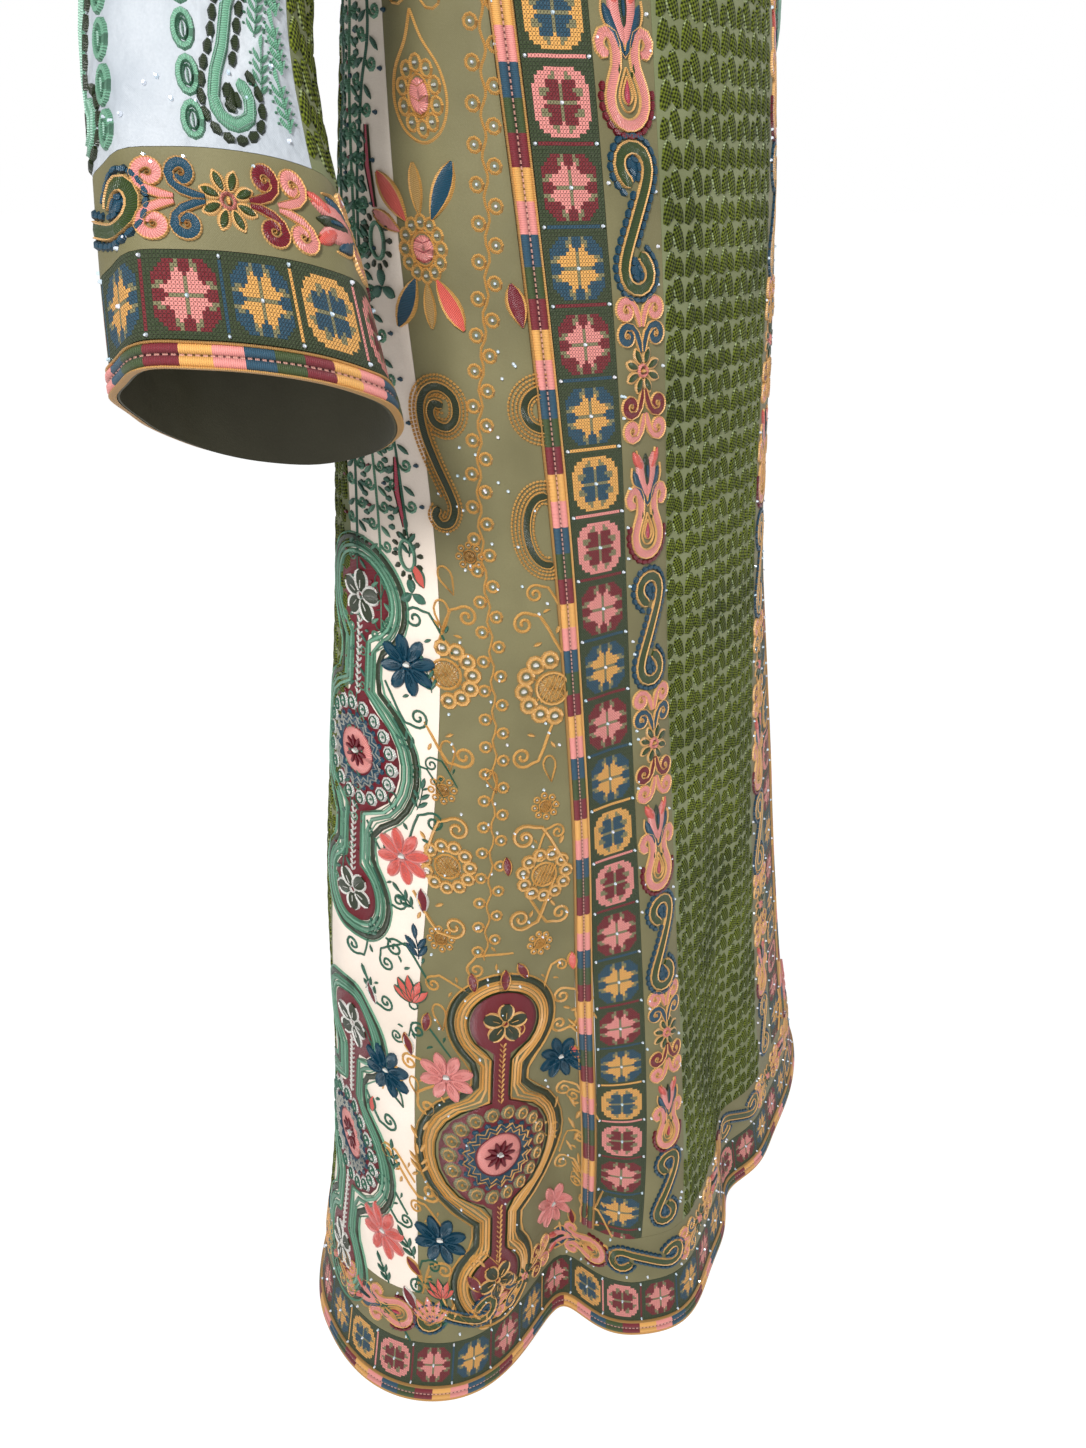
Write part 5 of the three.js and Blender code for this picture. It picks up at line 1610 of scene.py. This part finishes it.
def cartouche(ovals, neck, rows, scallop, dot, ground, zigzag, edge):
    """rows lists (inset, width, colour) of the nested outlines from outside in. The medallion has a
    ring of scallops, a blue zone with a pointed edge, a pink ring and burgundy petals."""
    m = Motif()
    for inset, width, colour in rows:
        s = cartouche_levels(ovals, inset, 50)
        w = cartouche_half_width(s, ovals, neck, inset)
        line = np.concatenate([np.stack([w, s], -1)[:-1], np.stack([-w, s], -1)[:0:-1]])
        m.stroke(line, width, colour, 0.9 if width > 2 else 1.1, True)
    last = rows[-1][0] + rows[-1][1] / 2
    s = cartouche_levels(ovals, last, 46)
    width = 2 * cartouche_half_width(s, ovals, neck, last) + 0.2
    m.stroke(np.stack([0 * s, s], -1), width, "burgundy", 0.45, ends=1.0)
    flower = head_flower(edge, "olive")
    m.add(flower, y=ovals[0][0]).add(flower, y=ovals[-1][0], turn=180, size=0.95)
    c, rx, ry = ovals[1]
    for low, high in ((c + ry * 0.74, ovals[0][0] - 19), (ovals[-1][0] + 18, c - ry * 0.74)):
        for y in np.arange(low, high, 5.2):
            for way in (1, -1):
                m.petal(0, y, 90 - way * 30, 5.4, 2.2, edge, 4, 1.0, base=0.3)
    rx, ry = rx - last, ry - last

    def on_ring(part, count=18, shift=0.0):
        return (0, c) + polar((np.arange(count) + shift) * 360 / count, rx * part, ry * part)

    def pointing_out(places, length, width, colour, count, rise, base):
        for x, y in places:
            angle = math.degrees(math.atan2(y - c, x))
            m.petal(x, y, angle, rx * length, rx * width, colour, count, rise, base=base)

    for x, y in on_ring(0.80):
        m.stroke(circle(x, y, rx * 0.075, count=8), rx * 0.15, ground, 0.8, True, base=0.3)
        m.ring(x, y, rx * 0.08, scallop, 2.2, rx * 0.1, 8, 1.9).bead(x, y, 1.0, dot, rise=2.0)
    m.stroke(circle(0, c, rx * 0.50, ry * 0.50, 32), min(rx, ry) * 0.2, "blue", 1.0, True, base=0.3)
    pointing_out(on_ring(0.56, shift=0.5), 0.12, 0.14, "blue", 4, 1.0, 0.3)
    for inner, outer in ((0.44, 0.53), (0.52, 0.61)):
        points = np.stack([on_ring(inner), on_ring(outer, shift=0.5)], 1).reshape(-1, 2)
        m.stroke(points, 1.1, zigzag, 0.9, True, base=1.0)
    m.ring(0, c, rx * 0.28, "pink", min(rx, ry) * 0.26, ry * 0.28, 28, 1.2)
    pointing_out(on_ring(0.05, 10), 0.24, 0.10, "burgundy", 6, 1.2, 0.6)
    return m.bead(0, c, 2.4, "white", rise=2.4)


SAGE_ROWS = [(0.8, 1.7, "gold"), (4.6, 6.0, "olive"), (8.3, 1.5, "gold"), (10.5, 2.7, "yellow"),
             (13.5, 2.7, "paleyellow"), (16.5, 2.7, "yellow"), (18.4, 1.2, "olive")]
CREAM_ROWS = [(0.7, 1.6, "mint"), (4.0, 5.4, "olive"), (7.3, 1.4, "mint"), (9.9, 3.8, "deepmint"), (13.9, 3.6, "mint"),
              (16.3, 1.2, "deepmint")]

# %% Laying motifs from a list
def outward(across, level):
    """A measured place as local x and y: x is minus the distance out from the middle of the front."""
    return -(across + float(smooth(WIDTHS, "twist", level))), level


def lay(m, kinds, rows):
    """Each row of the text is a kind's name and its places, and each place is its distance out and its
    level, then its turn in degrees and its size, if they aren't 0 and 1. A negative size mirrors it."""
    for kind, *places in (row.split() for row in rows.strip().splitlines()):
        for place in places:
            numbers = [float(v) for v in place.split(",")]
            across, level, turn, size = numbers + [0.0, 1.0][len(numbers) - 2:]
            m.add(kinds[kind], *outward(across, level), turn, abs(size), size < 0)
    return m

# %% The side front's vine
VINE = [(183, -20), (185, -120), (188, -215), (186, -300), (183, -378), (188, -438), (192, -510), (202, -598),
        (207, -678), (206, -766), (213, -862), (229, -962), (243, -1034)]
front_motif, side_stones = Motif(), []
line = np.array([outward(a, l) for a, l in VINE])
line[:4, 1] = height_of(line[:4, 1])
path = curve(line, 200)
gone = np.cumsum(np.linalg.norm(np.diff(path, axis=0, prepend=path[:1]), axis=1))
VINE_STEP = 11.65  # from one ring to the next, which lies on the other side
path = offset(path, 1.6 * np.sin(gone * math.pi / VINE_STEP))
front_motif.stroke(path, 2.0, "gold", 0.9)
for i, (x, y, angle) in enumerate(paced(path, VINE_STEP, 6)):
    at = (x, y) + polar(angle + (90 if i % 2 else -90), 6.0)
    front_motif.ring(*at, 4.1, "gold", 2.5)
    side_stones.append((*at, STONE))

# %% Two high flowers
def high_flower(m, x, y, turns, reach, ring, pad, rim, net):
    """A ring of gold loops with grey beads in them, round a padded oval netted with cord. Half widths
    and half heights come in pairs, and net is its cords' step, sag and colour."""
    for px, py in (x, y) + polar(turns, *reach):
        m.ring(px, py, ring[0], "gold", 2.5, ring[1]).bead(px, py, 1.6, "grey")
    m.stroke(circle(x, y, *pad[:3]), pad[3], "pink", 0.6, True).ring(x, y, rim[0], "gold", *rim[1:])
    step, sag, colour = net
    for d in (-4, 0, 4):
        m.cord([(x - 6, y + d * step), (x, y - sag + d * step), (x + 6, y + d * step)], colour, 1.0)


x, y = outward(229, -414)
drop = [(0, 42), (-6, 26), (-16, 10), (-19, -8), (-13, -24), (0, -31)]
front_motif.cord(curve(drop + [(-x, y) for x, y in drop[-2::-1]], 40) + (x, y), "gold", 2.2)
high_flower(front_motif, x, y - 5, np.arange(18, 360, 36), (12.4, 18), (3.8, 4.8), (3.6, 7.0, 12, 7.4),
            (7.4, 1.9, 12.0, 16), (2, 3, "gold"))
for at in ((240, -362), (215, -366)):
    front_motif.ring(*outward(*at), 7.0, "gold", 2.0)

x, y = outward(236, -506)
high_flower(front_motif, x, y, np.arange(0, 360, 30), (13.5, 16), (3.9, 4.4), (4.0, 4.8, 14, 8.2),
            (8.6, 2.0, 10.2, 18), (1.4, 2, "rose"))
for angle, length, width, colour in ((90, 30, 8, "ochre"), (60, 38, 14, "blue"), (124, 34, 14, "coral"),
                                     (150, 24, 9, "pink"), (-90, 28, 8, "ochre"), (-64, 34, 13, "coral"),
                                     (-118, 34, 13, "blue")):
    front_motif.add(bud(colour, "gold", length, width), *((x, y) + polar(angle, 18, 20)), angle - 90)

# %% [markdown]
# The rest of the side front is laid from a list. Each line names a motif, its place out from the middle
# and its level, and how it is turned and sized.

# %% The side front's scrolls, flowers and cartouche
GOLD = {
    "scroll": tailed_scroll(), "tear": tear(), "ring": ring_flower(12, 8), "wheel": ring_flower(25, 11),
    "half": ring_flower(30, 7, 90, 270), "bud": bud("burgundy"), "pinkbud": bud("coral"),
    "pink": satin_flower("pink", "rosy"), "petrol": satin_flower("petrol", "blue"), "lily": lily("pink", "gold"),
    "hoop": hoop(13, 13), "tallhoop": hoop(14, 25), "stem": beaded_stem(),
    "leaf": Motif().petal(0, 0, 90, 14, 4.8, "gold"), "spray": spray("gold", 2, 15, 4.6),
    "cartouche": cartouche([(136, 50, 50), (0, 75, 74), (-135, 46, 48)], 27, SAGE_ROWS,
                           "paleyellow", "yellow", "sage", "paleyellow", "paleyellow"),
}
lay(front_motif, GOLD, """
bud 172,-552,10,1.5
hoop 160,-606
tallhoop 160,-690
stem 231,-606
half 162,-810 242,-794,0,-.9
scroll 180,-758 170,-736,0,.8 222,-750,0,-.9 236,-858,180 191,-862,180,-1 197,-930,0,1.2 169,-930,0,-.75
scroll 209,-1002,180,-1.15 174,-1006,180 249,-918,0,-1.1 263,-1002,180,1.1 181,-1094 188,-1124,180,-1 197,-1202
scroll 326,-1174,90 218,-1292 207,-1312,90,.7 352,-1258,180 370,-1274,0,.7 366,-1334,0,-.9 376,-1352,180,.7
scroll 252,-1042,60,.9 330,-1134,0,.9 290,-1056,30,.8 196,-1376,0,.8 228,-1108,200,.8
tear 240,-762 230,-734,20,.9 248,-870 170,-886,0,.9 291,-1098 332,-1164,0,.7 215,-888,10,.8
ring 256,-886 177,-906 195,-1030 276,-1014 216,-706,0,.9
wheel 184,-966 261,-950,0,.96
bud 257,-1062 211,-1060,20 307,-1100,-20 325,-1124,10 222,-1366 389,-1340,30 214,-960,0,.9
pinkbud 168,-1066 176,-1166,20
pink 300,-1143
petrol 193,-1162
pink 239,-1338
petrol 359,-1303
lily 392,-1386,0,.9
leaf 190,-1224,20 193,-1238,-30 196,-1250,20 200,-1264,-30 204,-1278,20 338,-1198,-40 344,-1208,20 348,-1220,-40
spray 238,-1388,0,.9 172,-1130,0,.8 346,-1400,30,.8
scroll 190,-1210,0,.8 216,-1244,180,.8 194,-1258,0,-.8 202,-1330,180,-.8 198,-1338,0,.8 336,-1330,0,.8
scroll 352,-1384,180,-.8 384,-1230,0,.8 346,-1150,0,-.8 178,-1060,0,-.7
spray 200,-1300,0,.9 352,-1232,-10,.9 374,-1378,10,.8
bud 208,-1352,-20,1.2 342,-1362,20,1.2 232,-1066,-10,1.1
leaf 214,-1264,30 212,-1222,-30 206,-1392,20 208,-1400,-20 330,-1340,20
cartouche 279,-1230,-15
""")
for _ in range(100):
    level = rng.uniform(-1380, -560)
    low, high = float(seam_at(1, 3, level)), float(seam_at(1, 4, level))
    side_stones.append((*outward(rng.uniform(low + 5, high - 5), level), STONE))

# %% [markdown]
# ## The cream sides
# The cream side has two more cartouches in mint, one above the other, with satin flowers, leaves and
# scrolls between them. Above, where an arm hangs, chains of green scrolls run up to the armpit.

# %% The side's motif
MINT = {
    "scroll": tailed_scroll("fern", 2.6, 9), "tear": tear("fern", 20, 10), "lily": lily("coral", "fern"),
    "coral": satin_flower("coral", "rosy"), "petrol": satin_flower("petrol", "blue"),
    "bud": bud("burgundy", "white", 20, 9.5), "coralbud": bud("coral", "fern", 16, 8),
    "leaf": spray("fern", 2, 12, 4.6), "leafflower": spray("petrol", 2, 17, 7.0),
    "cartouche": cartouche([(126, 46, 46), (0, 62, 64), (-124, 42, 44)], 24, CREAM_ROWS,
                           "fern", "deepmint", "white", "grey", "white"),
}
side_motif = lay(Motif(), MINT, """
cartouche 333,-870,-10 445,-1246,-20
petrol 272,-790
coral 298,-946
petrol 358,-1150
coral 417,-1310
lily 312,-1076,0,.85
bud 286,-992 326,-1126,0,.9
coralbud 252,-730,20 392,-1200,-20,.9
leafflower 298,-1026,0,.85
scroll 262,-754 268,-830,180 267,-914,0,-1 307,-986,180,.9 319,-1030 371,-1046,180,-1 314,-1102,0,.9
scroll 276,-874,0,.8 340,-1084,180,.9 372,-1200,180 404,-1262,0,.9 386,-1290,180,.8 330,-1046,90,.9
scroll 396,-1352,0,.9
leaf 280,-850,30,.9 276,-896,-20,.9 340,-1020,-30,.8 356,-1078,30,.9 380,-1236,-10,.9 428,-1350,20,.8
leaf 262,-700,0,.9
scroll 384,-1128,0,.8 404,-1236,180,.8 374,-1330,0,-.8 438,-1388,0,.8 288,-764,180,.7 262,-866,0,.7
scroll 312,-942,180,.7 336,-1112,180,-.7
leaf 392,-1316,20,.9 384,-1384,-10,.9 256,-800,10,.9 300,-984,40,.8
lily 376,-1362,0,.7
bud 404,-1374,20 352,-1090,20,.9
tear 290,-744,0,.9 350,-1180,20,.9 300,-910,0,.8
""")

# %% Scroll chains up to the armpit
def scroll_chain(places, colour, curls, dots):
    """A stem through its places, with a spiral and a leaf on alternate sides every 14 mm."""
    stem = curve([outward(*at) for at in places], 60)
    side_motif.stroke(stem, 2.4, colour, 0.9)
    for i, (x, y, angle) in enumerate(paced(stem, 14, 8, 4)):
        way = 1 if i % 2 else -1
        out = angle + way * 90
        curl, leaf, dot = ((x, y) + polar(out, reach) for reach in (6.4, -2, 14.9))
        side_motif.stroke(spiral(*curl, 5.0, 1.4, out + 180, way, 13, 0.15), 2.9, curls, 0.95)
        side_motif.petal(*leaf, out + 180 + way * 40, 11, 4.4, colour, 5, 1.0).bead(*dot, 1.8, dots)


def share_places(share, levels):
    return [(float(seam_at(1, 4, l) * (1 - share) + seam_at(1, 5, l) * share), l) for l in levels]


scroll_chain([(266, -320), (267, -378), (277, -410), (284, -442), (289, -470), (290, -520), (278, -570),
              (268, -630), (262, -690)], "fern", "deepmint", "petrol")
scroll_chain(share_places(0.58, (-235, -400, -560, -690, -780)), "deepmint", "deepmint", "fern")
scroll_chain(share_places(0.84, (-235, -420, -640, -860, -1000)), "fern", "deepmint", "burgundy")
for share in (0.42, 0.72):
    for x, y, _ in paced(curve([outward(*at) for at in share_places(share, (-235, -400, -560, -690))], 40), 6.6):
        side_motif.bead(x, y, 2.6, "fern")
for level in (-434, -640):
    x, y = outward(*share_places(0.3, (level,))[0])
    side_motif.outlined([(x, y), (x - 2, y - 24), (x + 1, y - 48)], 4.0, "rose", "olive", 0.9, 1.2)
    side_motif.ring(x, y - 68, 6, "deepmint", 3.0, 11, 14, 1.1)
    for angle in range(0, 360, 30):
        side_motif.bead(*((x, y - 68) + polar(angle, 10.5, 16)), 2.2, "olive", angle, 1.1)
    for turn in (0, 120, 240):
        side_motif.petal(x, y - 96, turn + 90, 12, 8, "fern", 6, 1.1)

for word, side in SIDES:
    def panel_surface(x, y, lift, side=side):
        level = worn_level(y)
        return skin(-side * x - smooth(WIDTHS, "twist", level), level, lift)

    embroider(f"gold_work_{word}", "sage_cloth", front_motif, panel_surface)
    embroider(f"mint_work_{word}", "cream_cloth", side_motif, panel_surface)
    stones.append((panel_surface, side_stones))

# %% [markdown]
# ## The sleeves' embroidery
# Columns run down the arm: ovals one above another, and beside them mint serpentines edged with dark
# dots. Behind, leafy sprays fill the cloth to the seam.

# %% Sleeve motifs
def dotted_serpentine():
    m = Motif()
    bend = [(-4, 25), (-9.5, 31), (-8.5, 41), (2, 45), (11, 38), (9.5, 25), (3, 11)]
    path = curve(bend + [(0, 0)] + [(-x, -y) for x, y in bend[::-1]], 36)
    m.stroke(path, 8.0, "mint", 1.0)
    for distance in (-2.4, 2.4):
        m.stroke(offset(path, distance)[::2], 1.5, "ice", 0.6, base=0.75)
    for way in (1, -1):
        m.petal(way, way * 26, 90 * way, 14, 8, "olive", 6, 0.8)
        m.beads(path, way * 7.4, 3.2, 7.8, "olive", 3, 3, 1.1)
    return m


def stacked_oval():
    m = Motif().ring(0, 0, 5.2, "mint", 4.4, 7.4, 12, 1.0).ring(0, 0, 2.6, "deepmint", 1.6, 4.4, 9, 1.2)
    return m.petal(0, -3.2, 90, 6.4, 2.2, "ice", 5, 1.1)


def dense_spray():
    """A stem with pairs of leaves, and dots along short side stems."""
    m = spray("mint", 4, 12, 5.0)
    for i in range(4):
        for way in (1, -1):
            m.bead(way * 10, i * 8.0 - 3, 1.4, "deepmint")
    return m

# %% Motifs down the arm
sleeve_motif = Motif()
for x in (58, 8, -42, -92, -142):
    for y in np.arange(14, CUFF_TOP - 8, 19.5):
        sleeve_motif.add(stacked_oval(), x, -y)
for column, x in enumerate((83, 33, -17, -67, -117)):
    for y in np.arange(52 + 30 * (column % 2), CUFF_TOP - 30, 96.0):
        sleeve_motif.add(dotted_serpentine(), x, -y)
for x in (101, 115):
    for y in np.arange(20 + (x == 115) * 13, CUFF_TOP - 6, 26.5):
        sleeve_motif.add(dense_spray(), x, -y, turn=10 if x == 115 else -10, size=0.6)
sleeve_stones = [(rng.uniform(-150, 120), -rng.uniform(10, CUFF_TOP - 8), 1.35) for _ in range(130)]
for word, side in SIDES:
    def arm_surface(x, y, lift, sleeve=sleeves[word]):
        return sleeve.at(x, -y, lift)

    embroider(f"arm_work_{word}", "cream_cloth", sleeve_motif, arm_surface)
    stones.append((arm_surface, sleeve_stones))
stone_mesh("crystals", stones)

# %% [markdown]
# ## Floor and light
# The floor is a plain pale sheet just under the hem, and the light is soft and from all round, a little
# stronger from the camera's left and from above, so that folds and raised stitches still show.

# %% Floor and sky
FLOOR = -1.50
floor_mesh = bpy.data.meshes.new("floor")
floor_mesh.from_pydata([(x, y, FLOOR) for x, y in ((-30, -30), (30, -30), (30, 30), (-30, 30))], [], [(0, 1, 2, 3)])
floor = bpy.data.objects.new("floor", floor_mesh)
bpy.context.collection.objects.link(floor)
paper = Finish("floor_paper")
paper.shader.inputs["Emission Color"].default_value = (1, 1, 1, 1)
paper.shader.inputs["Emission Strength"].default_value = 0.95
floor_mesh.materials.append(paper.finish((0.12, 0.12, 0.12), 0.9, paper.noise(paper.solid(), 40.0), 0.0003, 0.1))

bpy.context.scene.view_settings.view_transform = "Standard"
world = bpy.context.scene.world or bpy.data.worlds.new("sky")
bpy.context.scene.world = world
world.use_nodes = True
sky = world.node_tree
light = sky.nodes["Background"]
light.inputs["Color"].default_value = (0.95, 0.97, 1.0, 1)
light.inputs["Strength"].default_value = 0.32
backdrop = node(sky, "ShaderNodeBackground", {}, {"Color": (1.0, 1.0, 1.0), "Strength": 1.0})
seen = node(sky, "ShaderNodeLightPath")
both_skies = node(sky, "ShaderNodeMixShader", {}, {0: seen, 1: Socket(sky, light.outputs[0]), 2: backdrop})
sky.links.new(both_skies.output, sky.nodes["World Output"].inputs[0])

# %% Lamps
def soft_lamp(name, at, aim, size, power, colour=(1, 1, 1)):
    lamp = bpy.data.objects.new(name, bpy.data.lights.new(name, "AREA"))
    bpy.context.collection.objects.link(lamp)
    lamp.data.shape, lamp.data.size, lamp.data.energy, lamp.data.color = "DISK", size, power, colour
    lamp.location = at
    lamp.rotation_mode = "QUATERNION"
    lamp.rotation_quaternion = (Vector(aim) - Vector(at)).to_track_quat("-Z", "Y")


soft_lamp("key", (-2.4, -1.2, 1.2), (0, 0, -0.9), 0.7, 110)
soft_lamp("fill", (0.6, -3.0, 0.4), (0, 0, -0.8), 2.0, 14)
soft_lamp("rim", (1.8, 2.4, 1.2), (0, 0, -0.7), 1.6, 26)
soft_lamp("left", (2.6, -0.6, 0.2), (0, 0, -0.8), 1.6, 18)

# %% [markdown]
# ## Sizes at the end
# The flat size of each sheet, and the numbers of pieces and triangles, are printed.

# %% Sizes and finish
for row in sheets:
    print("sheet", row)
print("pieces:", len(made), "triangles:", sum(made.values()))
